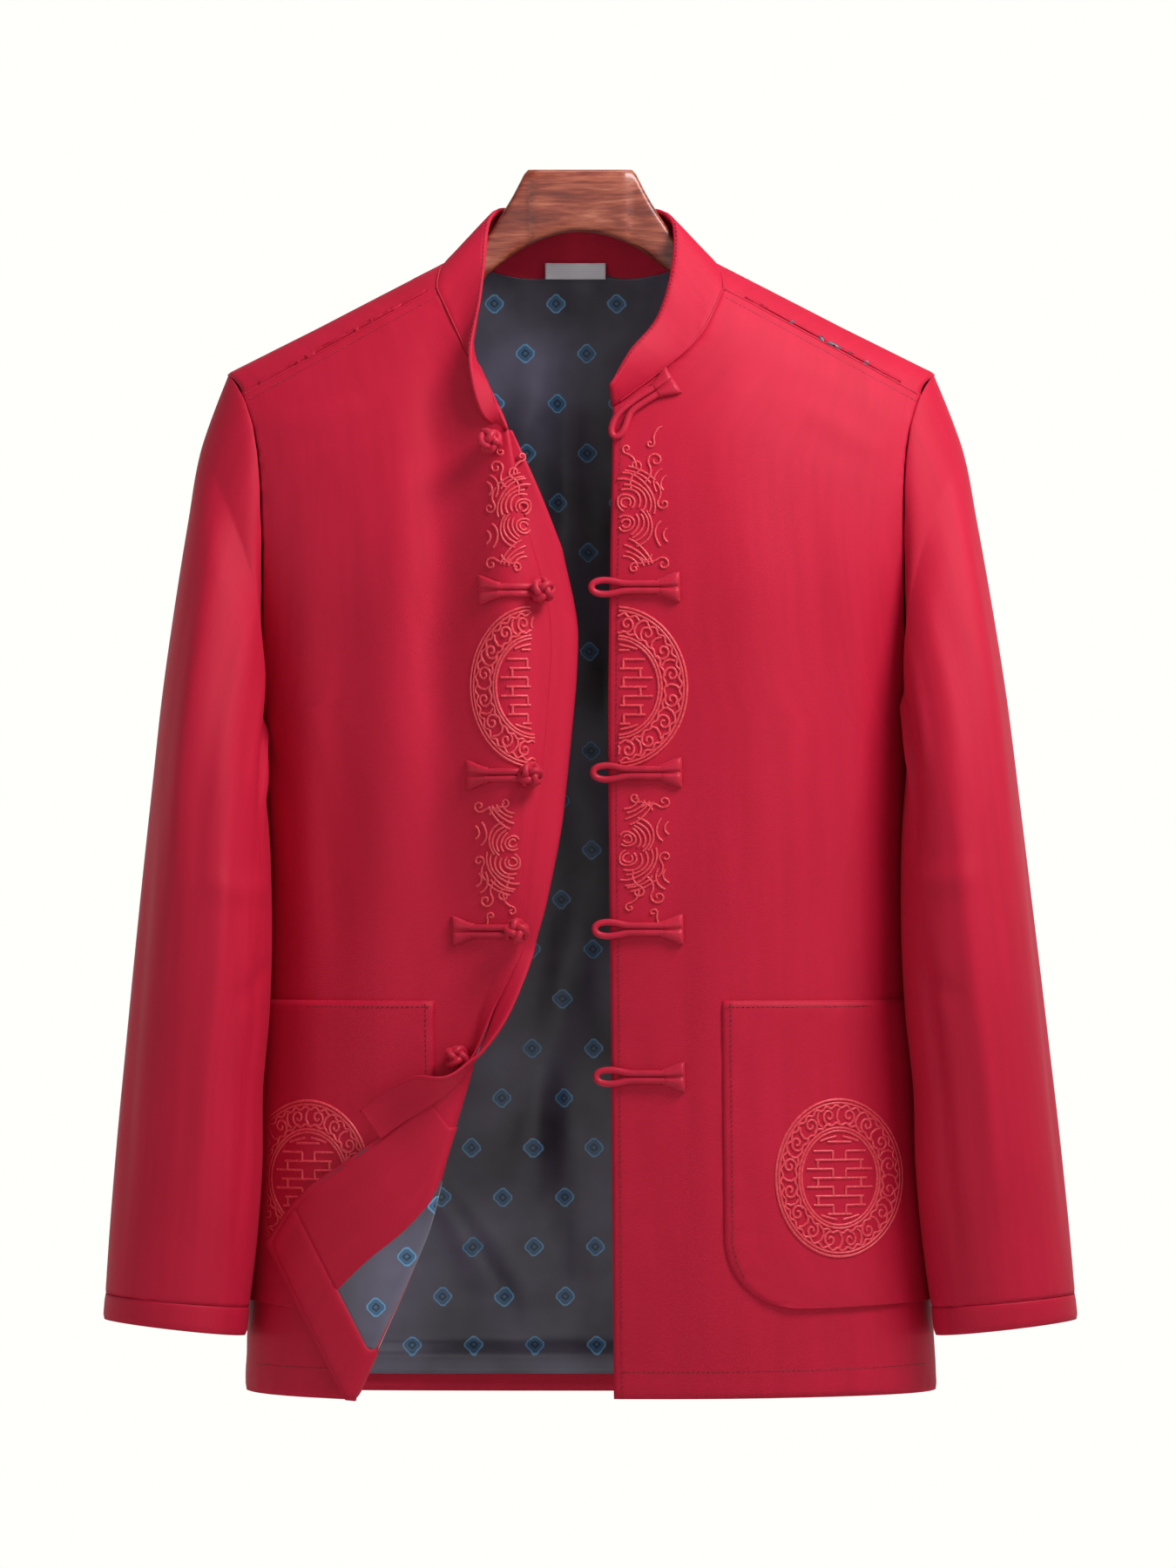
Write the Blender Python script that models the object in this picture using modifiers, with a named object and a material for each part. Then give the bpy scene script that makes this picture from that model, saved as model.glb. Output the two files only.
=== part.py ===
"""Tang jacket on a wooden hanger: each cut and sewn piece is its own cloth wall.

Metres, +Z up, +X to the loop side, the front faces -Y. The origin is the middle of the flat
top of the hanger, where a hook or a rod bracket holds it. Points on the garment are worked
out from one body form: an oval at each height, which closes over the shoulders.
"""
import math

import bmesh
import bpy
from mathutils import Vector

# ---- cloth and cord -------------------------------------------------------------------
CLOTH = 0.0018            # shell cloth, two plies pressed together
LINING_CLOTH = 0.0010
LABEL_CLOTH = 0.0010
POCKET_GAP = 0.0012
LAYER_GAP = 0.0005        # air between a piece and the panel it lies on
SEAM_GAP = 0.0004         # air between two panels at their seam
SHOULDER_GAP = 0.0006     # half the drop between the two panels at a shoulder seam
CORD_RADIUS = 0.0021
KNOT_RADIUS = 0.0074

# ---- body form ------------------------------------------------------------------------
HALF_TURN = math.pi
SIDE_POWER = 2.6          # roundness of the oval: 2 is an ellipse
CROWN_POWER = 2.2         # roundness over the shoulder
CROWN_START_Z = -0.300    # where the chest starts to close towards the shoulder
CROWN_SCALE = 0.23        # metres of panel for each radian below the crown
RIDGE_X, RIDGE_Z, RIDGE_SLOPE = 0.0985, -0.0655, 0.509
SWAY = 0.0098             # the whole garment hangs a little towards +X
SWAY_START_Z = -0.060
OPENING_DIP = 0.016       # the fronts fall inwards beside the opening
OPENING_DIP_WIDTH = 0.065
FRONT_HEM_Z, SIDE_HEM_Z, BACK_HEM_Z = -0.7868, -0.7830, -0.7890
UNDERARM_Z = -0.365
NECK_X, NECK_Z = 0.0918, -0.0773          # where the shoulder seam meets the collar
SEAM_END_X, SEAM_END_Z = 0.2176, -0.1460  # where it meets the armhole
BACK_NECK_Z = -0.064
SHOULDER_TIP_X = 0.2278


def table(names, rows):
    """A table with named columns; its first column is the one that is looked up."""
    return [dict(zip(names.split(), row)) for row in rows]


def look_up(rows, column, at):
    """The column at that value of the first column, on a smooth curve through the rows."""
    key = next(iter(rows[0]))
    forward = rows[-1][key] > rows[0][key]
    ordered = rows if forward else rows[::-1]
    at = min(max(at, ordered[0][key]), ordered[-1][key])
    last = len(ordered) - 2
    i = next((k for k in range(last) if at <= ordered[k + 1][key]), last)

    def slope(k):
        low, high = max(k - 1, 0), min(k + 1, last + 1)
        span = ordered[high][key] - ordered[low][key]
        return (ordered[high][column] - ordered[low][column]) / span

    start, end = ordered[i], ordered[i + 1]
    width = end[key] - start[key]
    t = (at - start[key]) / width
    return ((2 * t ** 3 - 3 * t ** 2 + 1) * start[column] + (t ** 3 - 2 * t ** 2 + t) * width * slope(i)
            + (3 * t ** 2 - 2 * t ** 3) * end[column] + (t ** 3 - t ** 2) * width * slope(i + 1))


BODY = table("z half_width front back", [
    (-0.790, 0.2225, 0.0880, 0.0850),
    (-0.700, 0.2185, 0.0900, 0.0850),
    (-0.600, 0.2135, 0.0900, 0.0840),
    (-0.500, 0.2100, 0.0900, 0.0830),
    (-0.420, 0.2085, 0.0890, 0.0830),
    (-0.365, 0.2100, 0.0880, 0.0820),
    (-0.300, 0.2175, 0.0860, 0.0810),
    (-0.250, 0.2300, 0.0850, 0.0800),
    (-0.180, 0.2440, 0.0830, 0.0780),
    (-0.100, 0.2560, 0.0800, 0.0750),
    (-0.020, 0.2600, 0.0800, 0.0750),
])


def sway(z):
    return SWAY * max(0.0, SWAY_START_Z - z)


def ridge(x):
    """Height of the shoulder line above x."""
    return RIDGE_Z - RIDGE_SLOPE * (abs(x) - RIDGE_X)


def oval(x, z):
    """Share of the full depth that the oval has at x."""
    across = min(abs(x) / look_up(BODY, "half_width", z), 1.0)
    return (1 - across ** SIDE_POWER) ** (1 / SIDE_POWER)


def front_depth(x, z):
    """How far the outer face of the fronts stands forward of the middle plane."""
    rise = min(max((z - CROWN_START_Z) / (ridge(x) - CROWN_START_Z), 0.0), 1.0)
    crown = (1 - rise ** CROWN_POWER) ** (1 / CROWN_POWER)
    dip = OPENING_DIP * math.exp(-(x / OPENING_DIP_WIDTH) ** 2)
    return (look_up(BODY, "front", z) - dip) * oval(x, z) * crown


def front_point(x, z, forward=0.0):
    return Vector((x + sway(z), -front_depth(x, z) - forward, z))


def wrap_point(x, turn):
    """A point by its turn over the shoulder: below 0 the back, half of pi the ridge, then the front."""
    if turn <= 0:
        z = CROWN_START_Z + turn * CROWN_SCALE
        return Vector((x + sway(z), look_up(BODY, "back", z) * oval(x, z), z))
    rise = math.sin(turn) ** (2 / CROWN_POWER)
    z = CROWN_START_Z + (ridge(x) - CROWN_START_Z) * rise
    if turn > HALF_TURN / 2:
        return front_point(x, z)
    crown = max(1 - rise ** CROWN_POWER, 0.0) ** (1 / CROWN_POWER)
    return Vector((x + sway(z), look_up(BODY, "back", z) * oval(x, z) * crown, z))


def turn_at(x, z, front):
    """The turn over the shoulder of a height z, on the front or on the back."""
    if z <= CROWN_START_Z:
        return (z - CROWN_START_Z) / CROWN_SCALE
    rise = min((z - CROWN_START_Z) / (ridge(x) - CROWN_START_Z), 1.0)
    turn = math.asin(rise ** (CROWN_POWER / 2))
    return HALF_TURN - turn if front else turn


def side_angle(x, z):
    """The oval's own angle at x: 0 in the middle, a quarter turn at the side seam."""
    return math.asin(min(abs(x) / look_up(BODY, "half_width", z), 1.0) ** (SIDE_POWER / 2))


def side_x(angle, z):
    return look_up(BODY, "half_width", z) * math.sin(angle) ** (2 / SIDE_POWER)


def seam_angle(z):
    """The oval's angle just short of the side seam."""
    return math.acos((SEAM_GAP / look_up(BODY, "back", z)) ** (SIDE_POWER / 2))


# ---- armhole --------------------------------------------------------------------------
ARMHOLE_IN, ARMHOLE_IN_WITHIN = 0.0235, 0.025   # it cuts in by this much, within that drop
ARMHOLE_GAP, ARMHOLE_TIP_GAP = 0.0016, 0.0040   # air between the body and the sleeve's head
ARMHOLE_OUT = 0.006                             # and comes out again towards the underarm
TIP_Z = ridge(SHOULDER_TIP_X)


def armhole_x(z):
    drop = TIP_Z - z
    whole = TIP_Z - UNDERARM_Z
    inwards = ARMHOLE_IN * (1 - math.exp(-drop / ARMHOLE_IN_WITHIN))
    return SHOULDER_TIP_X - inwards + (ARMHOLE_OUT - 0.0004) * (drop / whole) ** 4


def armhole_point(angle):
    """0 is the shoulder tip, a quarter turn the front, a half turn the underarm."""
    z = UNDERARM_Z + (TIP_Z - UNDERARM_Z) * (1 + math.cos(angle)) / 2
    x = armhole_x(z)
    front = math.sin(angle) > 0
    depth = front_depth(x, z) if front else wrap_point(x, turn_at(x, z, False)).y
    return Vector((x, -depth if front else depth, z))


# ---- making cloth ---------------------------------------------------------------------
def material(name, colour, roughness, metallic=0.0):
    made = bpy.data.materials.new(name)
    made.use_nodes = True
    shader = made.node_tree.nodes["Principled BSDF"]
    shader.inputs["Base Color"].default_value = (*colour, 1)
    shader.inputs["Roughness"].default_value = roughness
    shader.inputs["Metallic"].default_value = metallic
    return made


def place(name, bm, finish):
    mesh = bpy.data.meshes.new(name)
    bm.to_mesh(mesh)
    bm.free()
    made = bpy.data.objects.new(name, mesh)
    mesh.shade_smooth()
    mesh.materials.append(finish)
    jacket.objects.link(made)
    return made


def cloth(name, point, columns, rows, finish, wall=CLOTH, lift=0.0, outward=None, closed=False, trim=0.0):
    """A cloth wall on a grid of points: point(across, up), both 0 to 1, is its outer face.

    lift moves it out along its own normals; trim is the share then taken off each side.
    """
    bm = bmesh.new()
    bmesh.ops.create_grid(bm, x_segments=columns, y_segments=rows, size=0.5)
    trimmed = [f for f in bm.faces if abs(f.calc_center_median().x) > 0.5 - trim]
    for v in bm.verts:
        v.co = point(min(max(v.co.x + 0.5, 0), 1), min(max(v.co.y + 0.5, 0), 1))
    if closed:
        bmesh.ops.remove_doubles(bm, verts=bm.verts, dist=1e-6)
    bm.normal_update()
    middle = min(bm.faces, key=lambda f: (f.calc_center_median() - point(0.5, 0.5)).length)
    if middle.normal.dot(outward(middle.calc_center_median())) < 0:
        bmesh.ops.reverse_faces(bm, faces=bm.faces)
        bm.normal_update()
    for v, normal in [(v, v.normal.copy()) for v in bm.verts]:
        v.co += normal * lift
    bmesh.ops.delete(bm, geom=trimmed, context="FACES")
    made = place(name, bm, finish)
    shell = made.modifiers.new("wall", "SOLIDIFY")
    shell.thickness = wall
    shell.offset = -1
    return made


def forwards(centre):
    return Vector((0, -1, 0))


def backwards(centre):
    return Vector((0, 1, 0))


def cord(name, points, finish, radius=CORD_RADIUS):
    """A round cord along its own line of points."""
    curve = bpy.data.curves.new(name, "CURVE")
    curve.dimensions = "3D"
    line = curve.splines.new("POLY")
    line.points.add(len(points) - 1)
    for knot, p in zip(line.points, points):
        knot.co = (*p, 1)
    curve.bevel_depth = radius
    curve.bevel_resolution = 2
    curve.use_fill_caps = True
    curve.materials.append(finish)
    made = bpy.data.objects.new(name, curve)
    jacket.objects.link(made)
    return made


# ---- fronts ---------------------------------------------------------------------------
NECK_START, CHEST = 16 / 22, 0.50   # shares of a front's inner edge, from hem to shoulder
LOOP_EDGE = table("share x z", [
    (0.00, 0.0143, FRONT_HEM_Z),
    (0.25, 0.0148, -0.566),
    (CHEST, 0.0152, -0.345),
    (NECK_START, 0.0205, -0.1540),
])
LOOP_NECK = table("share x z", [
    (NECK_START, 0.0205, -0.1540),
    (0.80, 0.0535, -0.1290),
    (0.90, 0.0765, -0.1070),
    (1.00, NECK_X, NECK_Z),
])
OUTER_EDGE = table("share z", [
    (0.00, SIDE_HEM_Z),
    (0.25, -0.575),
    (CHEST, UNDERARM_Z),
    (NECK_START, -0.225),
    (1.00, SEAM_END_Z),
])


def outer_edge(up):
    """Side seam, then the front of the armhole: its x and z."""
    z = look_up(OUTER_EDGE, "z", up)
    if up < CHEST:
        return side_x(seam_angle(z), z), z
    share = (up - CHEST) / (1 - CHEST)
    seam = side_x(seam_angle(z), z)
    return min(armhole_x(z), seam) if share < 1 else SEAM_END_X, z


def front_row(inner, outer, across):
    """A point between the two edges, spaced by the oval's angle so the side is well rounded."""
    (x_in, z_in), (x_out, z_out) = inner, outer
    z = z_in + (z_out - z_in) * across
    start, end = side_angle(x_in, z_in), side_angle(x_out, z_out)
    return side_x(start + (end - start) * across, z), z


def seam_row(across):
    """The upper edge of a front: even steps along the shoulder seam, as on the back."""
    x = NECK_X + (SEAM_END_X - NECK_X) * across
    return x, NECK_Z + (SEAM_END_Z - NECK_Z) * across - SHOULDER_GAP


def loop_front_point(across, up):
    edge = LOOP_EDGE if up < NECK_START else LOOP_NECK
    inner = look_up(edge, "x", up), look_up(edge, "z", up)
    x, z = seam_row(across) if up == 1 else front_row(inner, outer_edge(up), across)
    return front_point(x, z)


# The knot side: its edge hangs back, and its lower corner is turned outwards over a fold.
# A row of it lies on the body as far as x, then bends by turn (degrees) and runs on for reach.
KNOT_EDGE = table("share x z", [
    (0.35, 0.0400, -0.5000),
    (0.38, 0.0370, -0.4700),
    (0.42, 0.0330, -0.4100),
    (0.46, 0.0255, -0.3700),
    (CHEST, 0.0235, -0.3250),
    (0.56, 0.0245, -0.2850),
    (0.64, 0.0345, -0.2250),
    (NECK_START, 0.0500, -0.1690),
])
KNOT_NECK = table("share x z", [
    (NECK_START, 0.0500, -0.1690),
    (0.80, 0.0680, -0.1420),
    (0.90, 0.0800, -0.1090),
    (1.00, NECK_X, NECK_Z),
])
FOLD = table("share x z tip_x tip_z turn reach", [
    (0.00, 0.1565, -0.7868, 0.2040, -0.6880, 180, 0.125),
    (0.06, 0.1375, -0.7450, 0.1830, -0.6560, 180, 0.114),
    (0.13, 0.1106, -0.6850, 0.1480, -0.6300, 180, 0.081),
    (0.19, 0.0980, -0.6400, 0.1190, -0.6085, 178, 0.052),
    (0.23, 0.0900, -0.6110, 0.0995, -0.5945, 160, 0.032),
    (0.27, 0.0800, -0.5780, 0.0830, -0.5740, 112, 0.020),
    (0.31, 0.0660, -0.5400, 0.0650, -0.5400, 45, 0.013),
    (0.35, 0.0520, -0.5000, 0.0500, -0.5000, 0, 0.012),
])
FOLD_END = FOLD[-1]["share"]
FOLD_RADIUS = 0.0045
EDGE_STRIP = 0.012                   # width along the edge that turns with the corner
EDGE_STEP = 0.002


def knot_columns_on_body(up):
    """Share of a row's columns that lie on the body; the rest run over the fold."""
    t = min(max((up - 0.25) / 0.40, 0.0), 1.0)
    return 0.55 + 0.35 * t * t * (3 - 2 * t)


def knot_row(up):
    """Where a row leaves the body, its turn and how far it runs on."""
    if up >= FOLD_END:
        edge = KNOT_EDGE if up < NECK_START else KNOT_NECK
        return look_up(edge, "x", up) + EDGE_STRIP, look_up(edge, "z", up), 0.0, EDGE_STRIP
    return (look_up(FOLD, "x", up), look_up(FOLD, "z", up),
            math.radians(look_up(FOLD, "turn", up)), look_up(FOLD, "reach", up))


def knot_run_point(run, up, depth=0.0):
    """A point that far along the part of a row that leaves the body, that deep under its outer face."""
    x_leave, z_leave, turn, reach = knot_row(up)
    if run > reach:
        end, before = (knot_run_point(at, up, depth) for at in (reach, reach - EDGE_STEP))
        return end + (end - before).normalized() * (run - reach)
    if turn < 0.02:
        p = front_point(x_leave - run, z_leave, -depth)
        return Vector((run - x_leave + sway(p.z), p.y, p.z))
    bend = min(FOLD_RADIUS, 0.5 * reach / turn)
    angle = min(run / bend, turn)
    straight = max(run - bend * turn, 0.0)
    turned = max(-math.cos(turn), 0.0)
    along = (bend + depth) * math.sin(angle) + straight * math.cos(turn) * (1 - turned)
    out = bend * (1 - math.cos(angle)) + straight * math.sin(turn) - depth * math.cos(angle)
    share = straight / (reach - bend * turn) * turned
    x = (x_leave - along) * (1 - share) + look_up(FOLD, "tip_x", up) * share
    z = z_leave * (1 - share) + look_up(FOLD, "tip_z", up) * share
    return Vector((-x + sway(z), front_point(x, z).y - out, z))


def knot_front_point(across, up):
    if up == 1:
        p = front_point(*seam_row(1 - across))
        return Vector((2 * sway(p.z) - p.x, p.y, p.z))
    x_leave, z_leave, turn, reach = knot_row(up)
    on_body = knot_columns_on_body(up)
    if across > on_body:
        return knot_run_point(reach * (across - on_body) / (1 - on_body), up)
    x, z = front_row((x_leave, z_leave), outer_edge(up), 1 - across / on_body)
    p = front_point(x, z)
    return Vector((-x + sway(p.z), p.y, p.z))


# ---- back -----------------------------------------------------------------------------
NECK_SHARE = 0.40                    # share of the half width that the neck seam takes
BACK_COLUMNS = 20
BACK_UNDERARM, BACK_TIP = 0.40, 0.93  # shares of the back's outer edge, from hem to shoulder seam


def back_side(up):
    """The back's outer edge: side seam, back of the armhole, over the tip to the shoulder seam."""
    if up <= BACK_UNDERARM:
        z = SIDE_HEM_Z + (UNDERARM_Z - SIDE_HEM_Z) * up / BACK_UNDERARM
        return side_x(seam_angle(z), z), turn_at(0, z, False)
    if up <= BACK_TIP:
        share = (up - BACK_UNDERARM) / (BACK_TIP - BACK_UNDERARM)
        share = 0.6 * share + 0.4 * (1 - math.cos(HALF_TURN * share)) / 2
        z = UNDERARM_Z + (TIP_Z - UNDERARM_Z) * share
        x = min(armhole_x(z), side_x(seam_angle(z), z))
        return x, turn_at(x, z, False)
    share = (up - BACK_TIP) / (1 - BACK_TIP)
    z = TIP_Z + (SEAM_END_Z + SHOULDER_GAP - TIP_Z) * share
    x = armhole_x(z) if share < 1 else SEAM_END_X
    return x, turn_at(x, z, True)


def back_top(half):
    """The back's upper edge on one side: the neck seam, then the shoulder seam outwards."""
    if half >= NECK_SHARE:
        share = (half - NECK_SHARE) / (1 - NECK_SHARE)
        x = NECK_X + (SEAM_END_X - NECK_X) * share
        z = NECK_Z + (SEAM_END_Z - NECK_Z) * share + SHOULDER_GAP
        return x, turn_at(x, z, True)
    lean = math.sin(half / NECK_SHARE * HALF_TURN / 2)
    centre_turn = turn_at(0, BACK_NECK_Z, False)
    corner_turn = turn_at(NECK_X, NECK_Z + SHOULDER_GAP, True)
    drop = (1 - lean ** 2) ** 0.5
    return NECK_X * lean, centre_turn + (corner_turn - centre_turn) * (1 - drop)


LINING_TOP_SHARE, LINING_HEM, LINING_GAP = 0.960, 0.017, 0.0012


def back_point(across, up, hem=0.0):
    """hem raises the lower edge, for the lining."""
    side = 1 if across >= 0.5 else -1
    half = abs(across - 0.5) * 2
    spread = math.sin(half * HALF_TURN / 2) ** (2 / SIDE_POWER)
    x_side, turn_side = back_side(up)
    x_top, turn_top = back_top(half)
    x_end, turn_end = back_top(1.0)
    z_hem = BACK_HEM_Z + (SIDE_HEM_Z - BACK_HEM_Z) * half ** 2 + hem
    ease = up ** 3.5
    x = x_side * spread + ease * (x_top - x_end * spread)
    turn = turn_side + ease * (turn_top - turn_end)
    turn += (1 - up) ** 2 * (turn_at(0, z_hem, False) - turn_at(0, SIDE_HEM_Z, False))
    p = wrap_point(x, turn)
    return Vector((side * (p.x - sway(p.z)) + sway(p.z), p.y, p.z))


# ---- sleeves --------------------------------------------------------------------------
SLEEVE = table("share outer_x outer_z inner_x inner_z mid_y half_depth pinch", [
    (0.00, 0.2278, -0.1313, 0.2104, -0.3650, 0.0000, 0.0500, 0.0140),
    (0.07, 0.2445, -0.1800, 0.2135, -0.3740, -0.0080, 0.0540, 0.0180),
    (0.16, 0.2530, -0.2270, 0.2125, -0.3860, -0.0200, 0.0600, 0.0130),
    (0.25, 0.2620, -0.2830, 0.2090, -0.4050, -0.0320, 0.0640, 0.0070),
    (0.34, 0.2700, -0.3390, 0.2060, -0.4300, -0.0420, 0.0660, 0.0030),
    (0.43, 0.2764, -0.3950, 0.2045, -0.4620, -0.0490, 0.0650, 0.0000),
    (0.52, 0.2828, -0.4510, 0.2045, -0.5000, -0.0540, 0.0640, 0.0000),
    (0.61, 0.2890, -0.5070, 0.2055, -0.5430, -0.0550, 0.0620, 0.0000),
    (0.70, 0.2950, -0.5630, 0.2075, -0.5900, -0.0540, 0.0590, 0.0000),
    (0.79, 0.3010, -0.6190, 0.2110, -0.6390, -0.0510, 0.0560, 0.0000),
    (0.88, 0.3063, -0.6750, 0.2160, -0.6900, -0.0470, 0.0530, 0.0000),
    (0.96, 0.3100, -0.7205, 0.2215, -0.7290, -0.0440, 0.0510, 0.0000),
    (1.00, 0.3115, -0.7365, 0.2240, -0.7470, -0.0430, 0.0505, 0.0000),
])
CUFF_START = 0.96
HEAD = 0.07                           # share over which the sleeve leaves the armhole


def sleeve_point(side, turn, along):
    """turn 0 is the outer side, a quarter the front, a half the inner side."""
    angle = 2 * HALF_TURN * turn
    row = {name: look_up(SLEEVE, name, along) for name in SLEEVE[0] if name != "share"}
    up, front = math.cos(angle), math.sin(angle)
    x = (row["outer_x"] + row["inner_x"]) / 2 + (row["outer_x"] - row["inner_x"]) / 2 * up
    x -= row["pinch"] * front ** 2
    z = (row["outer_z"] + row["inner_z"]) / 2 + (row["outer_z"] - row["inner_z"]) / 2 * up
    p = Vector((x, row["mid_y"] - row["half_depth"] * front, z))
    if along < HEAD:
        start = armhole_point(angle) + Vector((ARMHOLE_GAP + ARMHOLE_TIP_GAP * max(up, 0), 0, 0))
        if along == 0:
            p = start
        else:
            share = along / HEAD
            p = start.lerp(p, share * share * (3 - 2 * share))
    return Vector((side * p.x + sway(p.z), p.y, p.z))


# ---- collar ---------------------------------------------------------------------------
COLLAR_TOP = table("along x y z", [
    (0.00, -0.0500, -0.0760, -0.1585),
    (0.06, -0.0700, -0.0860, -0.1400),
    (0.14, -0.0690, -0.0640, -0.1050),
    (0.22, -0.0615, -0.0340, -0.0650),
    (0.30, -0.0570, -0.0050, -0.0290),
    (0.40, -0.0420, 0.0170, -0.0230),
    (0.50, 0.0000, 0.0330, -0.0210),
    (0.60, 0.0420, 0.0170, -0.0230),
    (0.70, 0.0570, -0.0050, -0.0290),
    (0.80, 0.0590, -0.0300, -0.0620),
    (0.90, 0.0430, -0.0520, -0.1010),
    (1.00, 0.0205, -0.0690, -0.1400),
])
NECK_RISE = 0.0050                    # how far the collar stands off the back neck seam
COLLAR_BACK = 0.26                    # share along the collar where each front's neck edge ends


def neck_seam_point(along):
    """The seam under the collar: along the knot front's neck, the back's and the loop front's."""
    side = 1 if along > 0.5 else -1
    share = 0.5 - abs(along - 0.5)
    if share < COLLAR_BACK:
        up = NECK_START + (1 - NECK_START) * share / COLLAR_BACK
        edge = LOOP_NECK if side > 0 else KNOT_NECK
        p = front_point(look_up(edge, "x", up), look_up(edge, "z", up))
    else:
        half = NECK_SHARE * (0.5 - share) / (0.5 - COLLAR_BACK)
        column = min(math.floor(half * BACK_COLUMNS / 2), NECK_SHARE * BACK_COLUMNS / 2 - 1)
        start, end = (wrap_point(*back_top(2 * k / BACK_COLUMNS)) for k in (column, column + 1))
        p = start.lerp(end, half * BACK_COLUMNS / 2 - column)
    return Vector((side * (p.x - sway(p.z)), p.y, p.z))


def collar_point(along, up):
    low = neck_seam_point(along)
    high = Vector([look_up(COLLAR_TOP, axis, along) for axis in "xyz"])
    low += (high - low).normalized() * 3 * SEAM_GAP
    low.z += NECK_RISE * max(0.0, 1 - ((along - 0.5) / 0.22) ** 2)
    p = low.lerp(high, up)
    return Vector((p.x + sway(p.z), p.y, p.z))


# ---- what is sewn on ------------------------------------------------------------------
POCKET_INNER_X = {1: 0.0855, -1: 0.0975}
POCKET_TOP_Z, POCKET_LOW_Z = -0.5325, -0.7290
POCKET_CORNER = 0.045
POCKET_SIDE = table("z turn", [       # turn left between its outer edge and the side seam
    (-0.530, 0.38),
    (-0.600, 0.32),
    (-0.650, 0.22),
    (-0.730, 0.16),
])
FOLD_LINE = table("z x", [(row["z"], row["x"]) for row in FOLD])


def pocket_point(side, across, up):
    z = POCKET_LOW_Z + (POCKET_TOP_Z - POCKET_LOW_Z) * up ** 1.7
    rise = min((z - POCKET_LOW_Z) / POCKET_CORNER, 1.0)
    inner = POCKET_INNER_X[side] + POCKET_CORNER * (1 - math.sqrt(1 - (1 - rise) ** 2))
    if side < 0:
        inner = max(inner, look_up(FOLD_LINE, "x", z) + 0.002)
    start, end = side_angle(inner, z), seam_angle(z) - look_up(POCKET_SIDE, "turn", z)
    x = side_x(start + (end - start) * across, z)
    p = front_point(x, z)
    return Vector((side * x + sway(z), p.y, z))


UNDERLAP_WIDTH = 0.0205
UNDERLAP_DEPTH = 0.0048               # its face lies this far behind the face of the edge
UNDERLAP_END, UNDERLAP_START = 0.16, NECK_START - 0.001
INNER_DEPTH = CLOTH + 0.0014       # the face of what is sewn to the inside of the cloth


def underlap_point(across, up):
    """The strip that runs on beyond the knot side's edge, down to its squared end."""
    row = UNDERLAP_END + (UNDERLAP_START - UNDERLAP_END) * up
    reach = knot_row(row)[3]
    width = UNDERLAP_WIDTH * (0.15 + 0.85 * min(1.0, 5 * (1 - up)))
    return knot_run_point(reach + LAYER_GAP + width * across, row, UNDERLAP_DEPTH)


# The inside of the turned corner, in shares of each row's run past the fold.
HEM_BAND_TOP, LINING_TOP, FACING_TOP = 1 / 22, 3 / 22, 5 / 22
PATCH_GAP = 0.010                     # share of a run between two pieces
FACING_INNER = table("row share", [
    (HEM_BAND_TOP, 0.470),
    (2 / 22, 0.395),
    (LINING_TOP, 0.290),
    (4 / 22, 0.330),
    (FACING_TOP, 0.560),
])


def turned_start(row):
    """Share of a run where it has come round the fold and lies flat again."""
    x_leave, z_leave, turn, reach = knot_row(row)
    return FOLD_RADIUS * turn / reach + 0.04


def facing_start(row):
    return look_up(FACING_INNER, "share", row) + PATCH_GAP


def lining_end(row):
    return look_up(FACING_INNER, "share", row) - PATCH_GAP


def corner_patch(low, high, start, end):
    """A piece on the inside of the turned corner, between two rows and two shares of each."""
    def point(across, up):
        row = low + (high - low) * up
        share = start(row) + (end(row) - start(row)) * across
        return knot_run_point(knot_row(row)[3] * share, row, INNER_DEPTH)
    return point


def to_edge(row):
    return 1.0


LABEL_X, LABEL_WIDTH = -0.0030, 0.0390
LABEL_LOW_Z, LABEL_HEIGHT = -0.0680, 0.0105
LABEL_INSIDE = 0.0066                 # its face is this far in front of the neck seam


def label_point(across, up):
    x = LABEL_X + LABEL_WIDTH * (across - 0.5)
    seam = neck_seam_point(0.5 + 0.24 * x / NECK_X)
    return Vector((x, seam.y - LABEL_INSIDE, LABEL_LOW_Z + LABEL_HEIGHT * up))


FROG_ROWS = table("number loop_z knot_x knot_z", [
    (2, -0.2694, 0.0256, -0.2716),
    (3, -0.3875, 0.0345, -0.3892),
    (4, -0.4872, 0.0445, -0.4883),
])
LOWEST_LOOP_Z = -0.5813
NECK_KNOT_X, NECK_KNOT_Z = 0.0585, -0.1765
LOWEST_KNOT_X, LOWEST_KNOT_Z = 0.0900, -0.5600
TAB_LENGTH, TAB_HALF_ROOT, TAB_HALF_END, TAB_WALL = 0.0140, 0.0062, 0.0090, 0.0024
BAR_HALF_GAP, EYE_HALF = 0.00255, 0.0046
LOOP_TAB_X = 0.0460
LOOP_LINE = table("x drop half_gap", [
    (LOOP_TAB_X, 0, BAR_HALF_GAP),
    (0.0360, 0, BAR_HALF_GAP),
    (0.0260, 0, BAR_HALF_GAP),
    (0.0200, 0, 0.0040),
    (0.0140, 0, EYE_HALF),
    (0.0090, 0, 0.0040),
    (0.0060, 0, 0.0024),
    (0.0050, 0, 0),
])
NECK_LOOP_LINE = table("x z half_gap", [
    (0.0460, -0.1450, BAR_HALF_GAP),
    (0.0370, -0.1505, BAR_HALF_GAP),
    (0.0300, -0.1555, BAR_HALF_GAP),
    (0.0262, -0.1605, 0.0036),
    (0.0235, -0.1665, 0.0042),
    (0.0215, -0.1715, 0.0030),
    (0.0207, -0.1735, 0),
])
KNOT_BAR_LENGTH = 0.0180


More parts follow.
